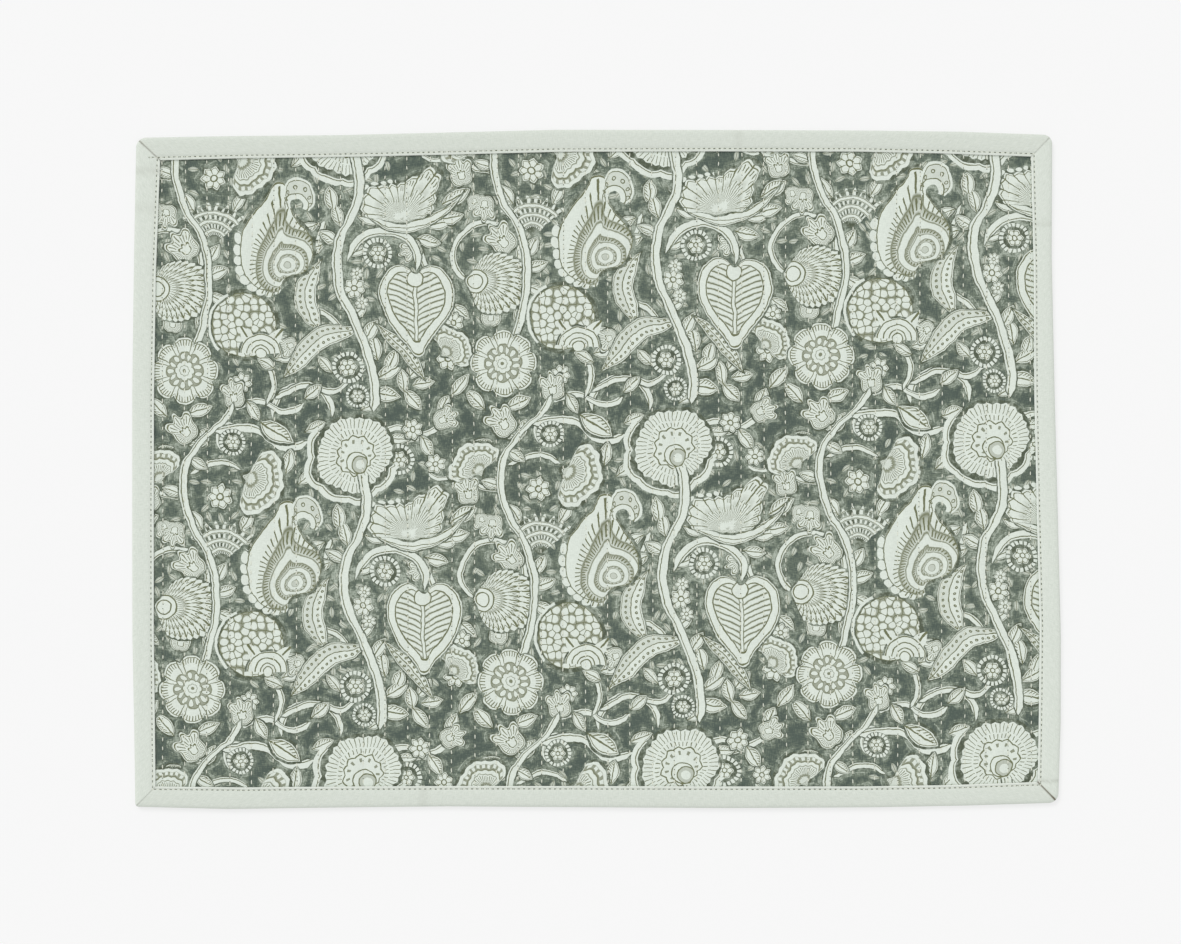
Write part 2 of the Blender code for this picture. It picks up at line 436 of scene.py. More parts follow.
def rosette(place):
    """A round flower: an eye, a ring of bead petals, and eight combed petals parted by sepals."""
    reach, turn = place.around()
    petal = turn.saw(8)
    size = 17.4 - (petal.fade(0.0, 0.5, 0.0, 1.0).math("POWER", 3.0) * 3.0)
    rho = reach / size
    tone = rho.ramp(
        (0.0, 0.1), (0.05, 0.1), (0.06, 1.0), (0.13, 1.0), (0.15, 0.1), (0.17, 1.0), (0.27, 1.0),
        (0.29, 0.0), (0.32, 0.4), (0.55, 0.3), (0.575, 0.0), (0.60, 1.0), (1.0, 1.0),
    )
    ring, bead = (rho - 0.43) * 7.4, turn.saw(13) * 2.5
    around_bead = ring * ring + bead * bead
    beads = around_bead < 0.62
    sepal = both(petal > 0.40, rho > 0.58)
    sepal_line = both(petal.near(0.385, 0.022), rho > 0.60)
    comb = both(cuts(turn, 64, 0.16, rho, 0.86, 0.09), 1 - sepal)
    lines = either(comb, sepal_line, rho.near(0.94, 0.012))
    tone = either(tone, beads) * (1 - both(around_bead.near(0.74, 0.12), 1 - beads)) * (1 - lines)
    return rho < 1.0, tone, (reach - size).fade(0.3, 5.0)


def heart(place):
    """A heart-shaped leaf with a wide plain border, close side ribs and a knob at its stalk."""
    x, y = place.axes()
    reach, turn = place.around()
    edge = outline(
        turn, 30.0,
        (-180, 17.4), (-150, 17.6), (-125, 19.6), (-108, 22.6), (-97, 26.6), (-90, 29.5), (-82, 26.0),
        (-66, 21.6), (-30, 18.8), (0, 18.8), (30, 18.8), (55, 17.0), (72, 13.4), (88, 9.6), (104, 13.2),
        (125, 17.4), (150, 17.8), (180, 17.4),
    )
    rho = reach / edge
    side = abs(x)
    bent = (y * 0.36 - side * 0.26 + side * side * 0.007).math("PINGPONG", 0.5)
    body = both(rho < 0.74, side > 1.1)
    grooves = both(bent < 0.10, body)
    shade = both(bent.near(0.16, 0.06), body) * 0.35
    vein = both(side.near(0.85, 0.22), rho < 0.78)
    lines = either(rho.near(0.765, 0.018), rho.near(0.96, 0.014))
    knob = place.vector("SUBTRACT", (0.0, 7.5, 0.0)).length()
    tone = 1 - either(grooves, shade, vein, lines)
    tone = either(tone, knob < 3.7) * (1 - knob.near(3.9, 0.28))
    return rho < 1.0, tone, (reach - edge).fade(0.3, 5.0)


def fan(place):
    """An open fan of two lobes of ribbed petals, the left one beaded along its rim."""
    reach, turn = place.around()
    edge = outline(
        turn, 35.0,
        (-180, 15.0), (-160, 4.0), (-20, 4.0), (0, 12.0), (12, 17.0), (32, 21.6), (43, 27.8), (52, 32.0),
        (61, 30.8), (68, 25.0), (80, 21.2), (93, 18.2), (104, 18.8), (115, 19.4), (128, 22.0), (140, 24.2),
        (151, 23.4), (168, 21.6), (180, 15.0),
    )
    petal = turn.saw(24)
    rho = reach / edge + petal * 0.14
    left = turn > 0.757
    ribs = cuts(turn, 72, 0.13, rho, 0.40, 0.17)
    parts = both(petal > 0.44, rho > 0.56)
    comb = both(cuts(turn, 96, 0.16, rho, 0.84, 0.06), 1 - left)
    shade = rho.ramp(
        (0.0, 0.3), (0.05, 0.3), (0.08, 1.0), (0.56, 1.0), (0.60, 0.75), (0.72, 1.0), (1.0, 1.0),
    )
    tone = shade * (1 - either(ribs, parts, comb)) * (1 - rho.near(0.945, 0.012))
    bead, ring = turn.saw(34) * 1.9, (reach - edge - 1.1) * 0.6
    beads = both(bead * bead + ring * ring < 0.5, turn.near(0.86, 0.09))
    return either(rho < 1.0, beads), either(tone, beads), (reach - edge).fade(0.8, 5.5)


def bowl(place):
    """The fan's bowl: a long shallow crescent, open upwards, with a line along it."""
    reach, turn = place.around()
    across = abs(turn - 0.25)
    depth = abs(reach - 35.4) - (1 - across * 6.6) * 4.6
    lines = either(reach.near(34.2, 0.24), reach.near(37.2, 0.2), depth.near(-0.6, 0.16))
    return depth < 0.0, 1 - lines, depth.fade(0.3, 4.5)


def bunch(place):
    """A round bunch of berries in an open shell."""
    reach, turn = place.around()
    sockets = {"Vector": place, "Scale": 0.28, "Randomness": 0.68}
    berry = place.node("ShaderNodeTexVoronoi", sockets, voronoi_dimensions="2D", feature="DISTANCE_TO_EDGE")
    middle = place.node("ShaderNodeTexVoronoi", sockets, voronoi_dimensions="2D")
    rho = reach / 15.8
    lobed = berry.fade(0.035, 0.06, 0.0, 1.0) * middle.fade(0.44, 0.54, 1.0, 0.3)
    shell = both(rho.near(1.05, 0.04), turn.near(0.93, 0.11) + turn.near(0.0, 0.12) > 0.5)
    tone = either(lobed * (1 - rho.near(0.97, 0.02)), shell)
    return either(rho < 0.97, shell), tone, reach.fade(16.6, 21.0)


def cup(place):
    """The berries' stalk end: three arcs over a knob, with a leaf on either side."""
    reach, turn = place.around()
    up = abs(turn - 0.74) < 0.25
    lines = either(reach.near(3.6, 0.24), reach.near(5.8, 0.24), reach.near(8.2, 0.24))
    knob = reach < 2.2
    wings = both(abs(abs(turn - 0.74) - 0.11) < 0.055, reach < 14.5 - abs(abs(turn - 0.74) - 0.11) * 115.0)
    wing_line = both(abs(turn - 0.74).near(0.11, 0.006), reach > 9.0)
    figure = either(both(reach < 8.6, up), knob, wings)
    tone = (1 - either(lines, wing_line)) * (1 - reach.near(2.2, 0.24))
    return figure, tone, either(both(reach.fade(9.2, 11.0), up), wings)


def leaf(place):
    """A pointed leaf, ten millimetres long, with its rib and a hatched side."""
    x, y = place.axes()
    side = abs(y)
    depth = side - (25.0 - x * x) * (2.5 / 25.0)
    rib = both(y.near(0.0, 0.22), x < 3.6)
    slant = (x * 0.8 - side * 0.9).math("PINGPONG", 0.5)
    hatch = both(slant < 0.16, depth.near(-0.9, 0.6), y > 0.0)
    tone = 1 - either(rib, hatch, depth.near(-0.42, 0.12))
    return depth < 0.0, tone, depth.fade(0.3, 4.5)


def floret(place):
    """A small flower of seven round petals."""
    reach, turn = place.around()
    petal = turn.saw(7)
    depth = reach - (5.2 - petal * 2.8)
    lines = either(reach.near(1.3, 0.3), depth.near(-0.6, 0.16), both(petal > 0.43, reach > 1.6))
    return depth < 0.0, 1 - lines, depth.fade(0.3, 5.0)


def ring_flower(place):
    """A small flower closed in a beaded ring."""
    reach, turn = place.around()
    petal = turn.saw(6)
    depth = reach - (4.6 - petal * 2.2)
    ring = reach.near(7.0, 1.0)
    beads = both(turn.saw(20) < 0.34, ring)
    lines = either(both(petal > 0.42, reach > 1.2), depth.near(-0.6, 0.18), reach.near(1.2, 0.28))
    tone = (depth < 0.0).pick(1.0, 1 - lines)
    return either(depth < 0.0, beads), tone, reach.fade(7.8, 12.5)


def bud(place):
    """A bud of three pointed petals that opens to the right."""
    reach, turn = place.around()
    edge = outline(
        turn, 12.0,
        (-180, 3.0), (-120, 4.4), (-62, 5.0), (-34, 8.4), (-16, 6.6), (0, 9.2), (16, 6.6), (34, 8.6),
        (62, 5.0), (120, 4.4), (180, 3.0),
    )
    rho = reach / edge
    ribs = cuts(turn, 30, 0.14, rho, 0.62, 0.18)
    lines = either(ribs, rho.near(0.9, 0.035), rho.near(0.32, 0.04))
    return rho < 1.0, 1 - lines, (reach - edge).fade(0.3, 5.0)


def half_flower(place):
    """Half a flower that opens to the right: a ribbed crescent, wavy lines and a beaded rim."""
    reach, turn = place.around()
    edge = outline(
        turn, 20.0,
        (-180, 2.0), (-100, 2.0), (-84, 10.0), (-60, 12.4), (-30, 11.8), (0, 12.6), (30, 11.8), (60, 12.6),
        (84, 10.0), (100, 2.0), (180, 2.0),
    )
    wave = reach / edge - turn.saw(18) * 0.08
    ribs = cuts(turn, 44, 0.15, wave, 0.38, 0.10)
    beads = cuts(turn, 28, 0.28, wave, 0.80, 0.055)
    tone = wave.ramp(
        (0.0, 0.9), (0.14, 0.9), (0.18, 0.1), (0.25, 0.4), (0.28, 1.0), (0.51, 1.0), (0.53, 0.0),
        (0.565, 1.0), (0.66, 1.0), (0.68, 0.0), (0.74, 0.3), (0.85, 0.2), (0.88, 1.0), (1.0, 1.0),
    )
    return wave < 0.98, either(tone * (1 - ribs), beads), (reach - edge).fade(0.6, 5.0)


def crown(place):
    """Stacked arcs of bars and beads with a row of spikes over them."""
    reach, turn = place.vector("ADD", (0.0, 7.0, 0.0)).around()
    facing = abs(turn - 0.75) < 0.145
    band = reach.math("PINGPONG", 2.2)
    bars = either(band > 1.1, both(turn.saw(34) < 0.24, band < 0.95))
    inside = both(reach > 4.4, reach < 21.0 - turn.saw(26) * 10.0, facing)
    return both(inside, bars), 1 - band.near(1.45, 0.16), both(reach.fade(18.0, 23.0), facing)


def thistle(place):
    """A flower of long combed petals that opens to the right from a striped cup."""
    reach, turn = place.around()
    edge = outline(
        turn, 30.0,
        (-180, 4.0), (-110, 5.0), (-72, 13.0), (-40, 19.0), (-12, 23.5), (12, 24.0), (40, 20.0), (72, 13.0),
        (110, 5.0), (180, 4.0),
    )
    rho = reach / edge
    petal = (turn * 46 + rho * 2.2).math("PINGPONG", 0.5)
    scale = (rho * 4.3 + petal * 1.2).math("FRACT")
    grooves = either(both(petal < 0.13, scale > 0.22), scale.near(0.06, 0.08))
    cupped = reach < 5.2
    tone = 1 - both(grooves, 1 - cupped)
    tone = tone * (1 - either(reach.near(5.3, 0.3), reach.near(3.2, 0.26)))
    tips = rho - petal * 0.12
    return tips < 0.96, tone, (reach - edge).fade(0.3, 5.0)


SWAY = 40.0  # what a sway or a radius of 1 stands for, in millimetres, in the next three figures


def blade(place, length, width, *sway):
    """A long swaying leaf that runs up the place, with a rib and two rows of punched dots."""
    x, y = place.axes()
    share = y.math("MULTIPLY_ADD", 1 / length, 0.5)
    off = x - (share.follow(sway) - 0.5) * SWAY
    half = (share * (1 - share) * (4 * width)).math("MINIMUM", width * 0.86)
    depth = abs(off) - half
    row, along = abs(off) - half * 0.5, (y * 0.34).math("PINGPONG", 0.5) * 2.9
    dots = both((row * row + along * along).near(0.28, 0.24), half > 1.6)
    tone = 1 - either(dots, off.near(0.0, 0.26), depth.near(-0.62, 0.16))
    return depth < 0.0, tone * off.fade(-0.4, 0.2, 0.86, 1.0), depth.fade(0.2, 5.0)


def stem(place, length, width, *sway):
    """A stem that runs up the place, swaying through given points, with a cut line down it."""
    x, y = place.axes()
    off = x - (y.math("MULTIPLY_ADD", 1 / length, 0.5).follow(sway) - 0.5) * SWAY
    half = ((length / 2 - abs(y)) * 0.6).math("MINIMUM", width / 2)
    depth = abs(off) - half
    return depth < 0.0, 1 - off.near(-0.24 * width, 0.26), depth.fade(0.2, 5.0)


def hoop(place, width, middle, half, *radii):
    """A stem that bends round the place at given radii, for a stretch of a turn."""
    reach, turn = place.around()
    off = reach - turn.follow(radii) * SWAY
    left = half - abs((turn - middle).math("WRAP", 0.5, -0.5))
    depth = abs(off) - (left * 60.0).math("MINIMUM", width) * 0.5
    return depth < 0.0, 1 - off.near(-0.25 * width, 0.24), both(depth.fade(0.2, 4.5), left > 0.0)


# The repeat. The blocks are set in a square of REPEAT by REPEAT that is turned a little on the
# mat. A layer is one kind of block: its figure, how far that and its halo reach across and up, the
# figure's own sizes, and its blocks, each by its middle in millimetres from the mat's middle, its
# turn and its size. Later layers lie over earlier ones.
REPEAT, REPEAT_TURN = 165.7, 1.35
Layer = namedtuple("Layer", "name draw across up sizes blocks")
Block = namedtuple("Block", "x y turn size")
LAYERS = (
    Layer("loop", hoop, 25, 25, (
        2.8, 0.80, 0.36, (0, 0.42), (0.2, 0.40), (0.5, 0.44), (0.75, 0.42), (0.9, 0.40), (1, 0.42),
    ), (Block(-55.7, -52.8, 0, 1),)),
    Layer("swirl", hoop, 24, 24, (
        3.2, 0.75, 0.27, (0, 0.36), (0.3, 0.34), (0.5, 0.42), (0.75, 0.38), (1, 0.36),
    ), (
        Block(12.4, -133.4, 0, 1), Block(-23.5, 20, 90, 0.5), Block(70, 7, 20, 0.7),
        Block(-80, 6, 150, 0.6),
    )),
    Layer("branch", stem, 14, 29, (
        48, 4.0, (0.0, 0.415), (0.16, 0.373), (0.33, 0.36), (0.47, 0.39), (0.58, 0.52), (0.68, 0.61),
        (0.82, 0.63), (1.0, 0.56),
    ), (Block(-8.3, 20.5, -90, 1), Block(-5.0, -129.5, -80, 0.8), Block(66.0, 21.0, -70, 0.8))),
    Layer("spray", stem, 12, 17, (
        27, 2.8, (0.0, 0.56), (0.25, 0.49), (0.5, 0.45), (0.75, 0.48), (1.0, 0.60),
    ), (
        Block(-32.8, 6.4, -85, 1), Block(-3.5, -113.9, 190, 1), Block(27.0, -84.0, -128, 1),
        Block(20, -45, 140, 1), Block(-60, -6, 60, 0.8), Block(83, -60, 40, 1),
    )),
    Layer("runner", stem, 14, 30, (
        48, 3.2, (0.0, 0.62), (0.15, 0.53), (0.27, 0.47), (0.45, 0.48), (0.64, 0.54), (0.82, 0.39),
        (1.0, 0.27),
    ), (Block(22.8, -120.1, -90, 1),)),
    Layer("leaf", leaf, 10, 7, (), (
        Block(-39, 21, 60, 1.3), Block(-42, 8, -35, 1.1), Block(-55, -6, 160, 1.1),
        Block(34, -30, 100, 1.3), Block(29, -42, 150, 1.2), Block(31, -22, 95, 1.4),
        Block(43, -81, 40, 1.2), Block(50, -91, 60, 1.3), Block(52, -99, 100, 1.4),
        Block(59, -112, 30, 1.4), Block(57, -124, -10, 1.6), Block(60, -107, 70, 1.3),
        Block(21, -47, -160, 1.2), Block(18, -37, 200, 1.2), Block(6, -95, 170, 1.2),
        Block(-29, -59, 20, 1.3), Block(-29, -72, -30, 1.2), Block(-31, -49, 60, 1.2),
        Block(5, -104, 10, 1.2), Block(-5, -107, 150, 1.1), Block(44, -49, 20, 1.1),
        Block(-70, -22, 30, 1.6), Block(-73, -33, 10, 1.4), Block(-17, -22, 60, 1.2),
        Block(-43, -22, 120, 1.2), Block(0, 23, -35, 2), Block(-45, 20, 150, 1.2),
        Block(19, -122, 40, 1.2), Block(26, -108, 130, 1.1), Block(63, 18, 0, 1.1),
        Block(50, -33, -20, 1.2), Block(81, -45, -10, 1.3), Block(87, -36, 10, 1.3),
        Block(49, -129, 30, 1.2), Block(-12, -131, -60, 1.2), Block(-70, -120, 50, 1.4),
        Block(-76, -75, 70, 1.2), Block(-69, -82, -40, 1.2), Block(-38, -83, 60, 1.2),
        Block(73, -101, 60, 1.2), Block(66, -92, -60, 1.2), Block(-62, -128, 130, 1.4),
        Block(-40, -130, 20, 1.4), Block(5, 8, 80, 1.3), Block(15, 0, 40, 1.2),
        Block(-22, -75, 70, 1.2), Block(-60, 14, 20, 1.3), Block(78, 14, -60, 1.3),
        Block(66, -117, 100, 1.3), Block(73, -112, 50, 1.3), Block(77, -119, 10, 1.2),
        Block(71, -127, -50, 1.3), Block(-79, -131, 60, 1.3), Block(20, -140, 20, 1.2),
    )),
    Layer("floret", floret, 11, 11, (), (
        Block(-30.4, -9.5, 0, 1.3), Block(-17.7, -116.3, 20, 1), Block(42.1, -68.1, 10, 1.1),
        Block(-75.5, -105.9, 0, 1.2), Block(43.4, -60.8, 0, 0.7), Block(45.3, -76.1, 0, 0.7),
        Block(83.3, -91.1, 0, 1.3), Block(-72.3, -87.4, 0, 1), Block(70.2, 23.1, 0, 1.1),
        Block(82.2, 4.8, 0, 1),
    )),
    Layer("ring_flower", ring_flower, 13, 13, (), (
        Block(54.4, -50.4, 0, 1), Block(37.7, -109.7, 0, 1), Block(41.9, -124.5, 0, 0.75),
        Block(63.1, 7.5, 0, 1), Block(-23.5, 18.6, 0, 0.85),
    )),
    Layer("bud", bud, 18, 18, (), (
        Block(-47.1, 23.6, 125, 1.4), Block(-67.1, -12, 100, 1.2), Block(-21.8, -124.7, 100, 1.2),
        Block(-53, -85.6, 80, 1.1), Block(-55, -25.8, -95, 1.1), Block(-60.6, -24, -80, 0.8),
        Block(-44.8, -46.9, 130, 1.4), Block(74.1, -49.1, -160, 1), Block(8.7, -97.2, 200, 1),
        Block(85, 27.3, 20, 1.1),
    )),
    Layer("half_flower", half_flower, 20, 20, (), (
        Block(-61.2, 0.3, 120, 1.25), Block(-15.5, -0.5, -24, 1.5), Block(-77.1, -103.1, 40, 1.1),
    )),
    Layer("crown", crown, 22, 20, (), (Block(-30.4, -36.4, 0, 1.05),)),
    Layer("thistle", thistle, 30, 28, (), (Block(-61.0, -66.3, -8, 1.18),)),
    Layer("tail", blade, 10, 24, (
        38.0, 3.8, (0, 0.56), (0.4, 0.52), (0.7, 0.46), (1, 0.36),
    ), (Block(66.5, -101.5, 28, 1),)),
    Layer("slim_stem", stem, 25, 72, (
        140, 3.8, (0.0, 0.50), (0.12, 0.64), (0.25, 0.72), (0.40, 0.67), (0.55, 0.42), (0.68, 0.32),
        (0.76, 0.35), (0.822, 0.47), (0.90, 0.74), (0.93, 0.86), (1.0, 1.0),
    ), (Block(-42.7, -30.6, 0, 1),)),
    Layer("arch", hoop, 26, 26, (
        4.0, 0.72, 0.27, (0, 0.5), (0.12, 0.42), (0.25, 0.40), (0.5, 0.42), (0.75, 0.41), (1, 0.5),
    ), (Block(58.5, -55.5, 0, 1),)),
    Layer("bunch", bunch, 22, 22, (), (Block(-15.9, -86.5, 0, 1.1),)),
    Layer("cup", cup, 17, 17, (), (Block(-7.8, -101.4, 0, 1.25),)),
    Layer("rosette", rosette, 25, 25, (), (Block(-47.4, -109.4, 0, 1),)),
    Layer("bowl", bowl, 32, 42, (), (Block(69.7, -0.6, 0, 1),)),
    Layer("fan", fan, 40, 40, (), (Block(67.4, -33.0, 0, 1),)),
    Layer("heart", heart, 28, 40, (), (Block(73.6, -72.8, 0, 1.08),)),
    Layer("upper_blade", blade, 20, 26, (
        38.0, 6.6, (0, 0.64), (0.25, 0.50), (0.5, 0.44), (0.75, 0.50), (1, 0.68),
    ), (Block(18.3, -72.1, 0, 1),)),
    Layer("lower_blade", blade, 20, 30, (
        48.0, 6.6, (0, 0.5), (0.2, 0.43), (0.42, 0.355), (0.64, 0.32), (0.83, 0.42), (1, 0.5),
    ), (Block(24.4, -101.8, -59, 1),)),
    Layer("bloom", bloom, 36, 36, (), (Block(40.6, 9.7, 0, 1),)),
    Layer("wide_stem", stem, 14, 72, (
        140, 4.8, (0.0, 0.70), (0.10, 0.72), (0.2, 0.66), (0.35, 0.47), (0.5, 0.28), (0.62, 0.29),
        (0.72, 0.46), (0.82, 0.58), (0.92, 0.56), (1.0, 0.5),
    ), (Block(42.2, -63, 0, 1),)),
    Layer("paisley", paisley, 36, 56, (), (Block(4.1, -53.1, 0, 1),)),
    Layer("curl", curl, 18, 20, (), (Block(12.6, -24.6, 0, 1),)),
)

# A look at the cloth needs only the blocks near it, so the repeat's square is shared out in
# COLUMNS by BANDS, and each share has a surface of its own with the blocks that reach into it.
COLUMNS, BANDS = 4, 4


DRAWN = ("Figure", "Tone", "Halo")


def open_group(name):
    """A new node group that takes a place and gives what is DRAWN there, and its place."""
    group = bpy.data.node_groups.new(name, "ShaderNodeTree")
    group.interface.new_socket("Place", in_out="INPUT", socket_type="NodeSocketVector")
    for label in DRAWN:
        group.interface.new_socket(label, in_out="OUTPUT", socket_type="NodeSocketFloat")
    return group, Value(group, group.nodes.new("NodeGroupInput").outputs[0])


def close_group(group, drawn):
    """The group, with its values led out."""
    end = group.nodes.new("NodeGroupOutput")
    for value, socket in zip(drawn, end.inputs):
        group.links.new(value.socket, socket)
    return group


def carved(layer):
    """A node group that draws one kind of block from a place, made once."""
    if layer.name in bpy.data.node_groups:
        return bpy.data.node_groups[layer.name]
    group, place = open_group(layer.name)
    return close_group(group, layer.draw(place, *layer.sizes))


def set_down(place, blocks):
    """The place as seen from the nearest of some blocks, at its size and turn.

    The turn rides along as the third number, too small to count in the distance.
    """
    best = best_reach = None
    for block in blocks:
        turn = math.radians(block.turn) * MM
        moved = place.vector("SUBTRACT", (block.x, block.y, -turn * block.size))
        if block.size != 1:
            moved = moved.vector("MULTIPLY", (1 / block.size,) * 3)
        if len(blocks) == 1:
            best = moved
            break
        reach = moved.length()
        if best is None:
            best, best_reach = moved, reach
            continue
        best = (reach < best_reach).pick(best, moved, "VECTOR")
        best_reach = reach.math("MINIMUM", best_reach)
    if not any(block.turn for block in blocks):
        return best
    sockets = {"Vector": best, "Angle": best.along(0, 0, 1) * (-1 / MM)}
    return best.node("ShaderNodeVectorRotate", sockets, rotation_type="Z_AXIS")


def share_middle(share, shares):
    """Where the middle of one share of the repeat lies along a side of its square."""
    return ((share + 0.5) / shares - 0.5) * REPEAT


def seen_from(layer, column, band):
    """The blocks of a layer that may print in one share, each as it lies from the share's middle."""
    blocks = []
    for block in layer.blocks:
        across, up = layer.across * block.size, layer.up * block.size
        if block.turn:
            across = up = max(across, up)
        x = (block.x - share_middle(column, COLUMNS) + REPEAT / 2) % REPEAT - REPEAT / 2
        y = (block.y - share_middle(band, BANDS) + REPEAT / 2) % REPEAT - REPEAT / 2
        if abs(x) < across + REPEAT / COLUMNS / 2 and abs(y) < up + REPEAT / BANDS / 2:
            blocks.append(block._replace(x=x, y=y))
    return blocks


def printed(column, band):
    """A node group: where one share of the repeat is printed, how pale, and the halo."""
    group, place = open_group(f"share_{column}_{band}")
    place = place.vector("SUBTRACT", (share_middle(column, COLUMNS), share_middle(band, BANDS), 0.0))
    figure = tone = halo = None
    for layer in LAYERS:
        blocks = seen_from(layer, column, band)
        if not blocks:
            continue
        where = set_down(place, blocks)
        node = where.node("ShaderNodeGroup", node_tree=carved(layer)).socket.node
        group.links.new(where.socket, node.inputs[0])
        shape, shade, glow = (Value(group, node.outputs[label]) for label in DRAWN)
        if figure is None:
            figure, tone, halo = shape, shade, glow
            continue
        figure = either(figure * (glow < GAP), shape)
        tone = shape.pick(tone, shade)
        halo = either(halo, glow)
    return close_group(group, (figure, tone, halo))


def photo_colour(red, green, blue, light=0.98):
    """A cloth's own colour from how it looks, 0 to 255, under even light of that strength."""
    linear = []
    for part in (red, green, blue):
        share = part / 255
        linear.append((share / 12.92 if share <= 0.04045 else ((share + 0.055) / 1.055) ** 2.4) / light)
    return (*linear, 1)


# Where a block's halo is stronger than GAP, the blocks under it are held back from its edge. The
# ground is darkest across the repeat at DARKEST, in millimetres up from the mat's middle. Lines stray
# by up to half of STRAY millimetres, as the first noise says, and the second mottles the ground.
GAP, DARKEST, STRAY = 0.89, 33.6, 3.2
STRAY_NOISE = {"Scale": 0.055, "Detail": 4.0, "Roughness": 0.62}
MOTTLE_NOISE = {"Scale": 0.20, "Detail": 6.0, "Roughness": 0.74, "Distortion": 0.3}
THREAD_NOISES = ((0.35, 2.6, 0.0), (2.6, 0.35, 0.0))  # fine across each thread, and long along it
PALE, CUT_LINE, SHADOW = photo_colour(219, 227, 217), photo_colour(110, 115, 84), photo_colour(76, 84, 64)
DARK, MIDDLE_GROUND = photo_colour(78, 91, 83), photo_colour(110, 121, 106)
SOFT_GROUND = photo_colour(174, 184, 170)


def fills(place):
    """Loose leaflets between the blocks, at random turns: where they print and how pale."""
    sockets = {"Vector": place, "Scale": 0.16, "Randomness": 0.9}
    cell = place.node("ShaderNodeTexVoronoi", sockets, voronoi_dimensions="2D").socket.node
    luck, spot = Value(place.tree, cell.outputs["Color"]), Value(place.tree, cell.outputs["Position"])
    away = place.vector("SUBTRACT", spot)
    first, second = luck.axes()
    sockets = {"Vector": away, "Angle": first * math.tau}
    x, y = away.node("ShaderNodeVectorRotate", sockets, rotation_type="Z_AXIS").axes()
    depth = abs(y) - (9.0 - x * x) * 0.14
    shape = both(depth < 0.0, second > 0.60)
    return shape, 1 - either(y.near(0.0, 0.2), depth.near(-0.3, 0.1)) * 0.8


def woven(place):
    """The uneven threads of a plain weave, from a place in millimetres: about 1, give or take 0.3."""
    threads = []
    for fineness in THREAD_NOISES:
        sockets = {"Vector": place.vector("MULTIPLY", fineness), "Scale": 1.0, "Detail": 2.0}
        threads.append(place.node("ShaderNodeTexNoise", sockets, noise_dimensions="2D"))
    return threads[0] + threads[1]


def block_print():
    """The printed cotton: figures and ground from the repeat, and the cloth's weave and wear."""
    material = bpy.data.materials.new("block_print")
    material.use_nodes = True
    tree = material.node_tree
    tree.nodes.remove(tree.nodes["Principled BSDF"])
    place = Value(tree).node("ShaderNodeTexCoord", out="Object")
    place = in_millimetres(place)
    turned = {"Vector": place, "Angle": math.radians(-REPEAT_TURN)}
    square = place.node("ShaderNodeVectorRotate", turned, rotation_type="Z_AXIS")

    sockets = {"Vector": square, **STRAY_NOISE}
    wobble = square.node("ShaderNodeTexNoise", sockets, out="Color", noise_dimensions="2D")
    hand = wobble.vector("SUBTRACT", (0.5, 0.5, 0.5)).vector("MULTIPLY", (STRAY, STRAY, 0.0))
    flat = square.vector("ADD", hand).vector("MULTIPLY", (1.0, 1.0, 0.0))
    flat = flat.vector("WRAP", (REPEAT / 2, REPEAT / 2, 1.0), (-REPEAT / 2, -REPEAT / 2, -1.0))
    x, y = flat.axes()

    mottle = square.node("ShaderNodeTexNoise", {"Vector": square, **MOTTLE_NOISE}, noise_dimensions="2D")
    smear = mottle.fade(0.40, 0.60, 0.0, 1.0)
    threads = woven(place)
    worn = threads.fade(0.7, 1.3, 0.93, 1.05)
    weave = {"Height": threads, "Strength": 0.4, "Distance": 0.12 * MM}
    weave = threads.node("ShaderNodeBump", weave)
    leaflet, leaflet_tone = fills(square)
    calm = y.math("MULTIPLY_ADD", 1 / REPEAT, -DARKEST / REPEAT).math("PINGPONG", 0.5)
    inks = ink_box()

    def share_surface(column, band):
        """The shader of one share of the repeat."""
        drawing = flat.node("ShaderNodeGroup", node_tree=printed(column, band)).socket.node
        tree.links.new(flat.socket, drawing.inputs[0])
        ink = tree.nodes.new("ShaderNodeGroup")
        ink.node_tree = inks
        shared_values = (smear, calm, leaflet, leaflet_tone, worn)
        given = (*drawing.outputs, *(value.socket for value in shared_values))
        for source, socket in zip(given, ink.inputs):
            tree.links.new(source, socket)
        surface = tree.nodes.new("ShaderNodeBsdfPrincipled")
        surface.inputs["Roughness"].default_value = 0.9
        tree.links.new(ink.outputs[0], surface.inputs["Base Color"])
        tree.links.new(weave.socket, surface.inputs["Normal"])
        return surface

    def shared(value, surfaces):
        """One shader out of several, by where a value lies in its share of the repeat."""
        chosen = surfaces[-1]
        for k in range(len(surfaces) - 2, -1, -1):
            limit = ((k + 1) / len(surfaces) - 0.5) * REPEAT
            mixed = tree.nodes.new("ShaderNodeMixShader")
            tree.links.new((value < limit).socket, mixed.inputs[0])
            tree.links.new(chosen.outputs[0], mixed.inputs[1])
            tree.links.new(surfaces[k].outputs[0], mixed.inputs[2])
            chosen = mixed
        return chosen

    bands = [
        shared(x, [share_surface(column, band) for column in range(COLUMNS)]) for band in range(BANDS)
    ]
    tree.links.new(shared(y, bands).outputs[0], tree.nodes["Material Output"].inputs["Surface"])
    return material


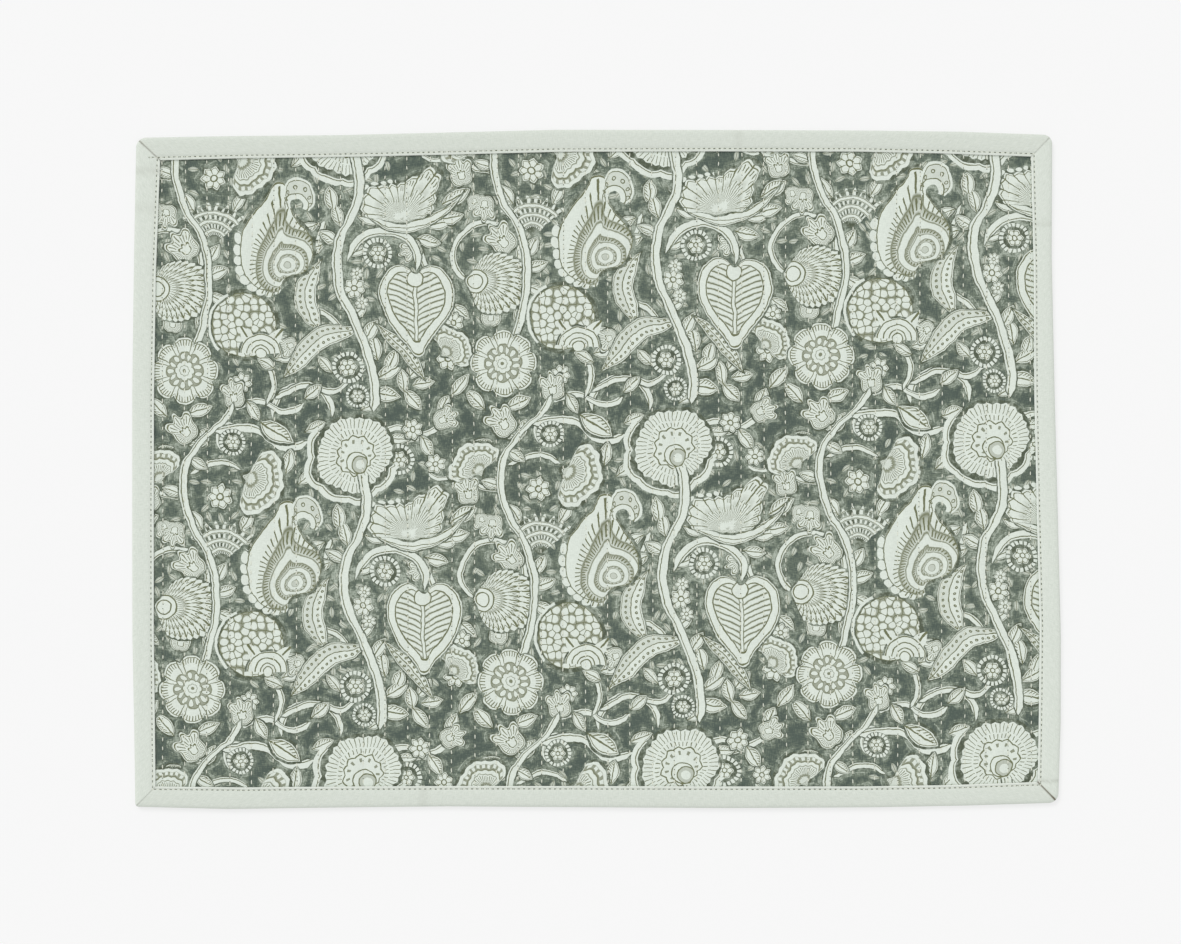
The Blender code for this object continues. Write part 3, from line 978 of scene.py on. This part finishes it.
def ink_box():
    """A node group: the cloth's colour from the print, the ground's mottling and the threads."""
    group = bpy.data.node_groups.new("inks", "ShaderNodeTree")
    for label in (*DRAWN, "Smear", "Calm", "Leaflet", "LeafletTone", "Worn"):
        group.interface.new_socket(label, in_out="INPUT", socket_type="NodeSocketFloat")
    group.interface.new_socket("Colour", in_out="OUTPUT", socket_type="NodeSocketColor")
    start = group.nodes.new("NodeGroupInput")
    given = (Value(group, output) for output in list(start.outputs)[:8])
    figure, tone, halo, smear, calm, leaflet, leaflet_tone, worn = given
    open_ground = halo < GAP
    rim = (1 - open_ground) * (smear * -0.45 + 0.80)
    lit = halo * (smear * 0.56 + 0.26) + smear * 0.18 + calm * 0.42 - 0.13
    lit = lit + halo.near(0.60, 0.035) * smear * 0.5 + worn * 4.0 - 3.96
    ground = lit.ramp((0.0, DARK), (0.42, MIDDLE_GROUND), (1.0, SOFT_GROUND))
    ground = rim.pick(ground, SHADOW, "RGBA")
    sprig = both(leaflet, open_ground, 1 - figure, calm > 0.13)
    tone = sprig.pick(tone, leaflet_tone * 0.75)
    inked = tone.pick(CUT_LINE, PALE, "RGBA")
    colour = either(figure, sprig).pick(ground, inked, "RGBA").vector("SCALE")
    group.links.new(worn.socket, colour.socket.node.inputs["Scale"])
    return close_group(group, (colour,))


printed_face = finished("printed_face", closed_panel("printed_face", face_height, MIDDLE), block_print())
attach(printed_face, "root")
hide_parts("quilted_panel")


# The backing. A plain pale cotton of the same size, sewn on by the same rows, so its underside
# dents a little at each row. Nothing of it shows from above.
BACKING_DENT = 0.35 * MM
HELD_FOOT = 1.34 * MM
SLUB_LOW, SLUB_HIGH = photo_colour(208, 215, 205), photo_colour(221, 227, 218)


def plain_cotton(name, uv=None):
    """Plain pale grey-green cotton with its slubby weave, read from a UV map or from its place. With a UV
    map, as on the binding, it also has a paler fold and painted shade.
    """
    material = bpy.data.materials.new(name)
    material.use_nodes = True
    tree = material.node_tree
    surface = tree.nodes["Principled BSDF"]
    if uv:
        place = Value(tree).node("ShaderNodeUVMap", uv_map=uv)
    else:
        place = Value(tree).node("ShaderNodeTexCoord", out="Object")
    place = in_millimetres(place)
    slub = woven(place)
    colour = slub.fade(0.7, 1.3, 0.0, 1.0).pick(SLUB_LOW, SLUB_HIGH, "RGBA")
    # Only the binding has a UV map: its fold is paler, and painted shade darkens its mitred seams, its
    # creases and its upper and lower strips.
    if uv:
        colour = fold_pale_and_painted_shade(place, colour)
    tree.links.new(colour.socket, surface.inputs["Base Color"])
    bump = slub.node("ShaderNodeBump", {"Height": slub, "Strength": 0.3, "Distance": 0.08 * MM})
    tree.links.new(bump.socket, surface.inputs["Normal"])
    surface.inputs["Roughness"].default_value = 0.92
    return material


def foot_height(rows, up, x, y):
    """The backing's underside: on the table between the rows, and lifted over the binding's fold."""
    dented = BACKING_DENT * (1 - np.clip(swell(rows, up, y), 0, 1))
    inside = smooth(inside_binding(up, x, y), 0.3 * MM, 2.2 * MM)
    return HELD_FOOT + (dented - HELD_FOOT) * inside


backing_mesh = closed_panel("backing", foot_height, MIDDLE - 0.02 * MM)
backing = finished("backing", backing_mesh, plain_cotton("backing_cotton"))
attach(backing, "root")


# The quilting thread. Cream cotton, sewn by hand in running stitch up each row: as much thread
# lies on the backing as on the face, one stitch above and the next below. The needle's holes are
# painted shade: dark specks at the ends of each stitch.
THREAD_LENGTH, THREAD_WIDTH, THREAD_HEIGHT, HOLE = 2.5 * MM, 0.62 * MM, 0.34 * MM, 0.60 * MM
THREAD_LEAN = 0.10
WIRE_STEPS = 400  # points along the wire that a row's stitches follow
ROW_PHASE = 0.37  # how much further along its step each row's first stitch starts
LEAN_SEED, SPREAD_SEED = 3, 8


def thread_cotton(name, low, high):
    """Sewing thread, with its ply as fine slanting bands between two colours."""
    material = bpy.data.materials.new(name)
    material.use_nodes = True
    tree = material.node_tree
    surface = tree.nodes["Principled BSDF"]
    x, y = in_millimetres(Value(tree).node("ShaderNodeTexCoord", out="Object")).axes()
    ply = ((x + y) * 3.2).math("PINGPONG", 0.5)
    colour = ply.fade(0.0, 0.5, 0.0, 1.0).pick(low, high, "RGBA")
    tree.links.new(colour.socket, surface.inputs["Base Color"])
    surface.inputs["Roughness"].default_value = 0.8
    return material


def row_lines(name, on_face, proud):
    """A wire mesh with one line up each sewn row, a little proud of the cloth."""
    places, edges = [], []
    up = np.linspace(0, 1, WIRE_STEPS)
    for number in range(ROWS):
        x = row_x(np.array(float(number)), up)
        across = x / LENGTH + 0.5
        bottom, top = edge_line("bottom", across, 0.0, 1), edge_line("top", across, 0.0, 1)
        y = bottom + (top - bottom) * up
        phase = (number * ROW_PHASE + (0.0 if on_face else 0.5)) % 1.0
        inside = (y > bottom + (0.8 + 3 * phase) * MM) & (y < top - 1.0 * MM)
        rows = np.full_like(up, float(number))
        if on_face:
            z = face_height(rows, up, x, y) + proud
        else:
            z = foot_height(rows, up, x, y) - proud * 0.4
        points = np.stack((x, y, z), axis=-1)[inside]
        first = len(places)
        places += points.tolist()
        edges += [(first + k, first + k + 1) for k in range(len(points) - 1)]
    mesh = bpy.data.meshes.new(name)
    mesh.from_pydata(places, edges, [])
    return mesh


def stitch_nodes(material, holes):
    """Geometry Nodes: a stitch, or the dark specks of painted shade for the two holes at its ends, at even
    steps along every wire.
    """
    tree = bpy.data.node_groups.new("needle_holes" if holes else "running_stitch", "GeometryNodeTree")
    face = tree.interface
    face.new_socket("Lines", in_out="INPUT", socket_type="NodeSocketGeometry")
    for label in ("Step", "Length", "Width", "Height", "Hole", "Uneven"):
        face.new_socket(label, in_out="INPUT", socket_type="NodeSocketFloat")
    face.new_socket("Stitches", in_out="OUTPUT", socket_type="NodeSocketGeometry")
    start, end = tree.nodes.new("NodeGroupInput"), tree.nodes.new("NodeGroupOutput")

    def node(kind, sockets=None, **settings):
        """A node with its settings, and its sockets' values or links."""
        made = tree.nodes.new(kind)
        for name, setting in settings.items():
            setattr(made, name, setting)
        for key, value in (sockets or {}).items():
            if isinstance(value, bpy.types.NodeSocket):
                tree.links.new(value, made.inputs[key])
            else:
                made.inputs[key].default_value = value
        return made

    wanted = {socket.name: socket for socket in start.outputs}
    curve = node("GeometryNodeMeshToCurve", {"Mesh": wanted["Lines"]})
    sockets = {"Curve": curve.outputs["Curve"], "Length": wanted["Step"]}
    spaced = node("GeometryNodeResampleCurve", sockets, mode="LENGTH")
    if holes:
        sizes = {"Vertices": 6, "Radius Top": 0.0, "Radius Bottom": 0.5, "Depth": 1.0}
        speck = node("GeometryNodeMeshCone", sizes)
    else:
        speck = node("GeometryNodeMeshUVSphere", {"Segments": 6, "Rings": 4, "Radius": 0.5})
    stitch = node("GeometryNodeJoinGeometry")
    for side in (-0.5, 0.5) if holes else (0.0,):
        aside = node("ShaderNodeMath", {0: wanted["Length"], 1: side}, operation="MULTIPLY")
        at = node("ShaderNodeCombineXYZ", {"X": aside.outputs[0]})
        sides = ("Hole", "Hole", "Height") if holes else ("Length", "Width", "Height")
        size = node("ShaderNodeCombineXYZ", {axis: wanted[label] for axis, label in zip("XYZ", sides)})
        sockets = {"Geometry": speck.outputs[0], "Translation": at.outputs[0], "Scale": size.outputs[0]}
        part = node("GeometryNodeTransform", sockets)
        tree.links.new(part.outputs["Geometry"], stitch.inputs["Geometry"])
    tangent = node("GeometryNodeInputTangent")
    aim = node("FunctionNodeAlignRotationToVector", {"Vector": tangent.outputs["Tangent"]}, axis="X")
    half = node("ShaderNodeMath", {0: wanted["Uneven"], 1: -1.0}, operation="MULTIPLY")
    sockets = {"Min": half.outputs[0], "Max": wanted["Uneven"], "Seed": LEAN_SEED}
    lean = node("FunctionNodeRandomValue", sockets)
    turn = node("ShaderNodeCombineXYZ", {"Z": lean.outputs["Value"]})
    sockets = {"Rotation": aim.outputs["Rotation"], "Rotate By": turn.outputs["Vector"]}
    turned_aim = node("FunctionNodeRotateRotation", sockets)
    sockets = {"Min": (0.86, 0.9, 0.9), "Max": (1.14, 1.1, 1.1), "Seed": SPREAD_SEED}
    spread = node("FunctionNodeRandomValue", sockets, data_type="FLOAT_VECTOR")
    sockets = {
        "Points": spaced.outputs["Curve"],
        "Instance": stitch.outputs["Geometry"],
        "Rotation": turned_aim.outputs["Rotation"],
        "Scale": spread.outputs["Value"],
    }
    laid = node("GeometryNodeInstanceOnPoints", sockets)
    real = node("GeometryNodeRealizeInstances", {"Geometry": laid.outputs["Instances"]})
    painted = node("GeometryNodeSetMaterial", {"Geometry": real.outputs["Geometry"], "Material": material})
    tree.links.new(painted.outputs["Geometry"], end.inputs["Stitches"])
    return tree


def sewn(name, lines, tree, **sizes):
    """The stitches along a wire mesh, as a plain mesh of their own."""
    guide = bpy.data.objects.new(f"{name}_guide", lines)
    bpy.context.collection.objects.link(guide)
    modifier = guide.modifiers.new("stitches", "NODES")
    modifier.node_group = tree
    for socket in tree.interface.items_tree:
        if socket.in_out == "INPUT" and socket.name in sizes:
            modifier[socket.identifier] = sizes[socket.name]
    shown = guide.evaluated_get(bpy.context.evaluated_depsgraph_get())
    mesh = bpy.data.meshes.new_from_object(shown)
    mesh.name = name
    mesh.shade_smooth()
    if mesh.materials[0] is None:
        mesh.materials.pop(index=0)
    guide.modifiers.remove(modifier)
    bpy.data.objects.remove(guide)
    piece = bpy.data.objects.new(name, mesh)
    bpy.context.collection.objects.link(piece)
    return piece


cream = thread_cotton("thread_cotton", photo_colour(206, 210, 192), photo_colour(236, 238, 226))
running_stitch = stitch_nodes(cream, False)
# The needle holes' dark specks are painted shade.
hole_shade = thread_cotton("hole_shade", photo_colour(96, 102, 82), photo_colour(116, 121, 98))
needle_holes = stitch_nodes(hole_shade, True)


def seam(name, face_line, hole_line, slot, **sizes):
    """A row of stitches and a row of dark specks of painted shade for the holes at their ends, as two
    pieces.
    """
    pieces = []
    kinds = (("", face_line, running_stitch, 1.0), ("_holes", hole_line, needle_holes, 0.35))
    for part, lines, tree, height in kinds:
        given = {**sizes, "Height": sizes["Height"] * height}
        pieces.append(sewn(f"{name}{part}", lines, tree, **given))
        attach(pieces[-1], "root")
    return pieces


for side in ("face", "back"):
    on_face = side == "face"
    seam(
        f"quilting_{side}",
        row_lines(f"rows_{side}", on_face, 0.10 * MM),
        row_lines(f"holes_{side}", on_face, 0.03 * MM),
        "printed_cotton" if on_face else "binding_cotton",
        Step=STITCH_PERIOD,
        Length=THREAD_LENGTH,
        Width=THREAD_WIDTH,
        Height=THREAD_HEIGHT,
        Hole=HOLE,
        Uneven=THREAD_LEAN,
    )


# The binding. Four strips of plain pale grey-green cotton, doubled, folded round the mat's rim and
# sewn down near their inner edge. They meet in a mitred seam at each corner.
CORNER_STEPS = 8
CORNER_RADII = {
    "top_left": 5.0 * MM, "top_right": 4.6 * MM, "bottom_left": 1.6 * MM, "bottom_right": 4.8 * MM,
}
MITRE_AIR = 0.05 * MM
STATION_STEP = 0.9 * MM
MEASURED = 50  # the station at which a strip's cloth is measured round its fold
TOP_LEG_MM = 3.05  # the leg of the strip above this height shows, and takes creases
SUNK_MM = (-2.0, -1.0)  # the depths between which the seam holds the cloth down
CLOSING_STEP = 0.6 * MM
BULGE_MM = 0.05
BULGE_SEEDS = {"top": 0.0, "bottom": 1.7, "left": 3.1, "right": 4.6}
# From the inner edge over the fold to the underside and back inside: the share of the strip's
# width from its outer edge, a depth in millimetres added to it, and the height in millimetres.
Bend = namedtuple("Bend", "share depth_mm height_mm")
SECTION = (
    Bend(1, 0.00, 3.10),
    Bend(1, 0.05, 3.38),
    Bend(1, -0.10, 3.66),
    Bend(1, -0.45, 3.80),
    Bend(1, -0.85, 3.74),
    Bend(1, -1.08, 3.56),
    Bend(1, -1.82, 3.56),
    Bend(1, -2.15, 3.76),
    Bend(1, -3.20, 3.92),
    Bend(0.55, 0.00, 4.00),
    Bend(0.30, 0.00, 4.00),
    Bend(0, 1.90, 3.92),
    Bend(0, 1.00, 3.66),
    Bend(0, 0.40, 3.20),
    Bend(0, 0.08, 2.60),
    Bend(0, 0.00, 2.00),
    Bend(0, 0.08, 1.35),
    Bend(0, 0.40, 0.75),
    Bend(0, 1.00, 0.28),
    Bend(0, 1.90, 0.05),
    Bend(0.30, 0.00, 0.00),
    Bend(0.60, 0.00, 0.00),
    Bend(1, -1.45, 0.16),
    Bend(1, -0.40, 0.03),
    Bend(1, 0.00, 0.25),
    Bend(1, 0.00, 0.85),
    Bend(1, -0.30, 1.02),
    Bend(0, 2.20, 1.04),
    Bend(0, 1.20, 1.45),
    Bend(0, 1.02, 2.00),
    Bend(0, 1.20, 2.50),
    Bend(0, 2.20, 2.94),
    Bend(1, -0.60, 2.98),
)

# Creases across a strip: how far along it, and the depth and half width of the trough, which is also
# darkened with painted shade.
Crease = namedtuple("Crease", "edge along_mm depth_mm width_mm")
CREASES = (
    Crease("left", 330.5, 0.30, 1.7),
    Crease("left", 311.0, 0.16, 2.2),
    Crease("right", 303.0, 0.24, 1.4),
    Crease("right", 13.4, 0.42, 0.7),
    Crease("top", 314.0, 0.16, 2.4),
    Crease("bottom", 150.0, 0.16, 2.6),
)

# Painted shade on the binding: how dark the shade in the mitred seam is at each end of a strip, where two
# strips meet, how far it spreads from the seam, and how much painted shade darkens the upper and lower
# strips all over, more than the others.
MITRE_SHADES = {"top": (0.50, 0.20), "bottom": (0.15, 1.0), "left": (0.12, 0.50), "right": (1.0, 0.15)}
MITRE_SHADE_REACH = 0.9 * MM
# How strong the mitred seam's painted shade is on the rim and on the face, and the painted shade in a
# crease for each millimetre of its depth.
MITRE_SHADE_AT_RIM, MITRE_SHADE_ON_FACE, CREASE_SHADE = 1.25, 0.9, 0.45
# Painted shade that darkens the upper and lower strips all over.
STRIP_SHADE = {"top": 0.055, "bottom": 0.045, "left": 0.0, "right": 0.0}
# The paler fold's colour, and the colour of the painted shade.
FOLD_PALE, PAINTED_SHADE_COLOUR = photo_colour(230, 235, 227), photo_colour(104, 96, 76)


def fold_pale_and_painted_shade(place, cloth):
    """The binding's cloth with a lighter folded inner edge, and painted shade in its mitred seams, in its
    creases and over its upper and lower strips.
    """
    round_fold = place.axes()[1]
    cloth = round_fold.fade(0.75, 1.25, 0.8, 0.0).pick(cloth, FOLD_PALE, "RGBA")
    painted_shade = place.node("ShaderNodeAttribute", out="Fac", attribute_name="painted_shade")
    return painted_shade.pick(cloth, PAINTED_SHADE_COLOUR, "RGBA")


def is_level(edge):
    return edge in ("top", "bottom")


def side_length(edge):
    return LENGTH if is_level(edge) else DEPTH


def corner_radii(edge):
    """The radius of the mat's outline at a strip's first and last corner."""
    if is_level(edge):
        return CORNER_RADII[f"{edge}_left"], CORNER_RADII[f"{edge}_right"]
    return CORNER_RADII[f"bottom_{edge}"], CORNER_RADII[f"top_{edge}"]


def strip_lines(edge, along, turn):
    """The points of a strip's outer edge and of its inner edge, as its run and its side."""
    first, last = ("left", "right") if is_level(edge) else ("bottom", "top")
    ends = np.full_like(along, float(edge in ("top", "right")))
    lines = []
    for bindings in (0, 1):
        start, finish = edge_line(first, ends, 0.0, bindings), edge_line(last, ends, 0.0, bindings)
        run = start + (finish - start) * along
        side = edge_line(edge, along, 0.0, bindings)
        if bindings == 0:
            swing = np.radians(45 + 45 * turn)
            radius = np.where(along < 0.5, *corner_radii(edge))
            corner = np.where(along < 0.5, start, finish)
            arc = radius * (1 - np.cos(swing)) * np.sign(0.5 - along)
            run = np.where(turn < 1, corner + arc, run)
            side = side - np.sign(side) * radius * (1 - np.sin(swing))
        lines.append(np.stack((run, side), axis=-1))
    return lines


def strip_stations(edge):
    """Where a strip's mesh is cut across: shares of its run, and how far round its corner each is."""
    long = side_length(edge)
    near, far = (radius / long for radius in corner_radii(edge))
    turns = np.linspace(0, 1, CORNER_STEPS + 1)
    middle = np.linspace(near, 1 - far, int(long / STATION_STEP))[1:-1]
    along = np.concatenate((near * turns, middle, 1 - far * turns[::-1]))
    return along, np.concatenate((turns, np.ones(len(middle)), turns[::-1]))


def crease_depth(edge, along_mm):
    """How deep a strip's creases lie in it, in millimetres, at places along it."""
    depth = np.zeros_like(along_mm)
    for crease in CREASES:
        if crease.edge == edge:
            depth += crease.depth_mm * np.exp(-(((along_mm - crease.along_mm) / crease.width_mm) ** 2))
    return depth


def strip_points(edge, along, turn):
    """A strip's points by station and bend, as run, side and height, and how much painted shade darkens
    each one.
    """
    long = side_length(edge)
    run = long * along
    outer, inner = strip_lines(edge, along, turn)
    air = np.where(turn == 0, MITRE_AIR * np.sign(0.5 - along), 0.0)
    width = read_edge(edge, along, "binding_mm")
    seed = BULGE_SEEDS[edge]
    bulge = np.sin(run * 61 + seed) * np.sin(run * 23 + 2 * seed) + 0.4 * np.sin(run * 190 + seed)
    from_end = long * np.minimum(along, 1 - along)
    # The painted shade of the mitred seam, fading within a short reach of the strip's end.
    mitre_shade = np.where(along < 0.5, *MITRE_SHADES[edge]) * np.clip(1 - from_end / MITRE_SHADE_REACH, 0, 1)
    columns, painted_shade = [], []
    for bend in SECTION:
        share = bend.share + bend.depth_mm * MM / width
        place = outer + (inner - outer) * share[:, None]
        height = np.full_like(run, bend.height_mm)
        # Painted shade: over the whole upper and lower strips, and in the mitred seam, stronger on the rim.
        shade_amount = STRIP_SHADE[edge] + mitre_shade * (MITRE_SHADE_AT_RIM if bend.share == 0 else MITRE_SHADE_ON_FACE)
        if bend.height_mm > TOP_LEG_MM:
            lying = crease_depth(edge, (place[:, 0] + long / 2) / MM)
            # Painted shade in the crease, as strong as the crease is deep.
            shade_amount = shade_amount + CREASE_SHADE * lying
            if not (bend.share == 1 and SUNK_MM[0] < bend.depth_mm < SUNK_MM[1]):
                height += BULGE_MM * bulge - lying
        painted_shade.append(shade_amount)
        columns.append(np.stack((place[:, 0] + air, place[:, 1], height * MM), axis=-1))
    return np.stack(columns, axis=1), np.stack(painted_shade, axis=1)


def strip_mesh(edge):
    """One folded strip, with a UV map in metres: along it, and round its fold."""
    along, turn = strip_stations(edge)
    run = side_length(edge) * along
    points, painted_shade = strip_points(edge, along, turn)
    steps = np.hypot(*np.diff(points[MEASURED, :, 1:], axis=0).T)
    rounds = [0.0, *np.cumsum(steps).tolist()]
    closing = rounds[-1] + CLOSING_STEP
    if not is_level(edge):
        points = points[..., [1, 0, 2]]
    stations, bends = points.shape[:2]
    faces, spots = [], []
    for k in range(stations - 1):
        here, there = k * bends, (k + 1) * bends
        for b in range(bends):
            after = (b + 1) % bends
            faces.append((here + b, here + after, there + after, there + b))
            v0, v1 = rounds[b], rounds[after] if after else closing
            spots += [(run[k], v0), (run[k], v1), (run[k + 1], v1), (run[k + 1], v0)]
    for k in (0, stations - 1):
        faces.append(tuple(range(k * bends, (k + 1) * bends)))
        spots += [(run[k], height) for height in rounds]
    mesh = bpy.data.meshes.new(f"binding_{edge}")
    mesh.from_pydata(points.reshape(-1, 3).tolist(), [], faces)
    # The painted shade reaches the shader as a point attribute.
    shade = mesh.attributes.new("painted_shade", "FLOAT", "POINT")
    shade.data.foreach_set("value", painted_shade.ravel().astype(np.float32))
    layer = mesh.uv_layers.new(name="cloth")
    layer.data.foreach_set("uv", np.array(spots, dtype=np.float32).ravel())
    outward(mesh)
    mesh.shade_smooth()
    mesh.set_sharp_from_angle(angle=math.radians(70))
    return mesh


def outward(mesh):
    """Turns a closed mesh's faces to point outwards."""
    shape = bmesh.new()
    shape.from_mesh(mesh)
    bmesh.ops.recalc_face_normals(shape, faces=shape.faces)
    shape.to_mesh(mesh)
    shape.free()


binding_cotton = plain_cotton("binding_cotton", "cloth")
binding = {}
for edge in EDGES:
    binding[edge] = finished(f"strip_{edge}", strip_mesh(edge), binding_cotton)
    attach(binding[edge], "root")
    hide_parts(f"binding_{edge}")


# The topstitching. Pale thread in a close machine stitch 1.5 mm outside the binding's inner edge,
# through both of its legs and the panel's rim. The top row runs on a little over the left strip.
TOPSTITCH = {
    "Step": 2.7 * MM, "Length": 2.1 * MM, "Width": 0.34 * MM, "Height": 0.24 * MM, "Hole": 0.6 * MM,
    "Uneven": 0.05,
}
SEAM_IN = 1.45 * MM
SEAM_STEPS = 600
OVERRUN = {"top": 3.2 * MM, "bottom": 0.0, "left": 0.0, "right": 0.0}
SEAM_PROUD_MM = 0.08


def seam_line(edge, part, proud_mm):
    """A wire mesh along a strip's stitched line, laid on the cloth and a little proud of it."""
    stitched_length = side_length(edge) - 2 * float(read_edge(edge, 0.5, "binding_mm"))
    start = -OVERRUN[edge] / stitched_length
    along = np.linspace(start, 1, SEAM_STEPS)
    outer, inner = strip_lines(edge, along, np.ones_like(along))
    width = read_edge(edge, along, "binding_mm")
    place = outer + (inner - outer) * (1 - SEAM_IN / width)[:, None]
    crossed = [(bend.depth_mm, bend.height_mm + SEAM_PROUD_MM) for bend in reversed(SECTION[2:9])]
    past_inner = (place[:, 0] - inner[np.argmin(abs(along)), 0]) / MM
    height = np.interp(past_inner, *zip(*crossed), left=SECTION[9].height_mm + SEAM_PROUD_MM)
    height = np.where(along < 0, height, SECTION[5].height_mm)
    points = np.column_stack((place, (height + proud_mm) * MM))
    if not is_level(edge):
        points = points[:, [1, 0, 2]]
    mesh = bpy.data.meshes.new(f"seam_{edge}{part}")
    mesh.from_pydata(points.tolist(), [(k, k + 1) for k in range(SEAM_STEPS - 1)], [])
    return mesh


for edge in EDGES:
    lines = (seam_line(edge, "", 0.0), seam_line(edge, "_holes", 0.02))
    topstitch = seam(f"topstitch_{edge}", *lines, "binding_cotton", **TOPSTITCH)


# The floor, light and camera. A plain near-white surface under even studio light, seen from
# straight above at the distance from which the mat fills the frame as it does in the photograph.
FLOOR_HALF, FLOOR_GREY, FLOOR_GLOW = 3.0, 0.35, 0.575
SKY_STRENGTH, KEY_STRENGTH, KEY_SIZE = 0.78, 0.95, 24
VIEW_CENTRE, CAMERA_HEIGHT, LENS_MM = (-3.2 * MM, -1.4 * MM), 1.454, 85
floor_mesh = bpy.data.meshes.new("floor")
floor_corners = [(x * FLOOR_HALF, y * FLOOR_HALF, 0) for x, y in ((-1, -1), (1, -1), (1, 1), (-1, 1))]
floor_mesh.from_pydata(floor_corners, [], [(0, 1, 2, 3)])
floor_paint = bpy.data.materials.new("pale_floor")
floor_paint.use_nodes = True
floor_surface = floor_paint.node_tree.nodes["Principled BSDF"]
floor_surface.inputs["Base Color"].default_value = (FLOOR_GREY, FLOOR_GREY, FLOOR_GREY, 1)
floor_surface.inputs["Emission Color"].default_value = (1, 1, 1, 1)
floor_surface.inputs["Emission Strength"].default_value = FLOOR_GLOW
floor_surface.inputs["Roughness"].default_value = 0.9
floor = finished("floor", floor_mesh, floor_paint)

world = bpy.data.worlds.new("studio")
bpy.context.scene.world = world
world.use_nodes = True
sky = world.node_tree.nodes["Background"]
sky.inputs["Color"].default_value = (1.0, 1.0, 1.0, 1)
sky.inputs["Strength"].default_value = SKY_STRENGTH

key = bpy.data.lights.new("key", "SUN")
key.energy = KEY_STRENGTH
key.angle = math.radians(KEY_SIZE)
key_light = bpy.data.objects.new("key", key)
key_light.rotation_euler = (math.radians(-34), math.radians(-30), 0)
bpy.context.collection.objects.link(key_light)

lens = bpy.data.cameras.new("camera")
lens.lens, lens.sensor_width = LENS_MM, 36
camera = bpy.data.objects.new("camera", lens)
camera.location = (*VIEW_CENTRE, CAMERA_HEIGHT)
bpy.context.collection.objects.link(camera)
bpy.context.scene.camera = camera
bpy.context.scene.view_settings.view_transform = "Standard"
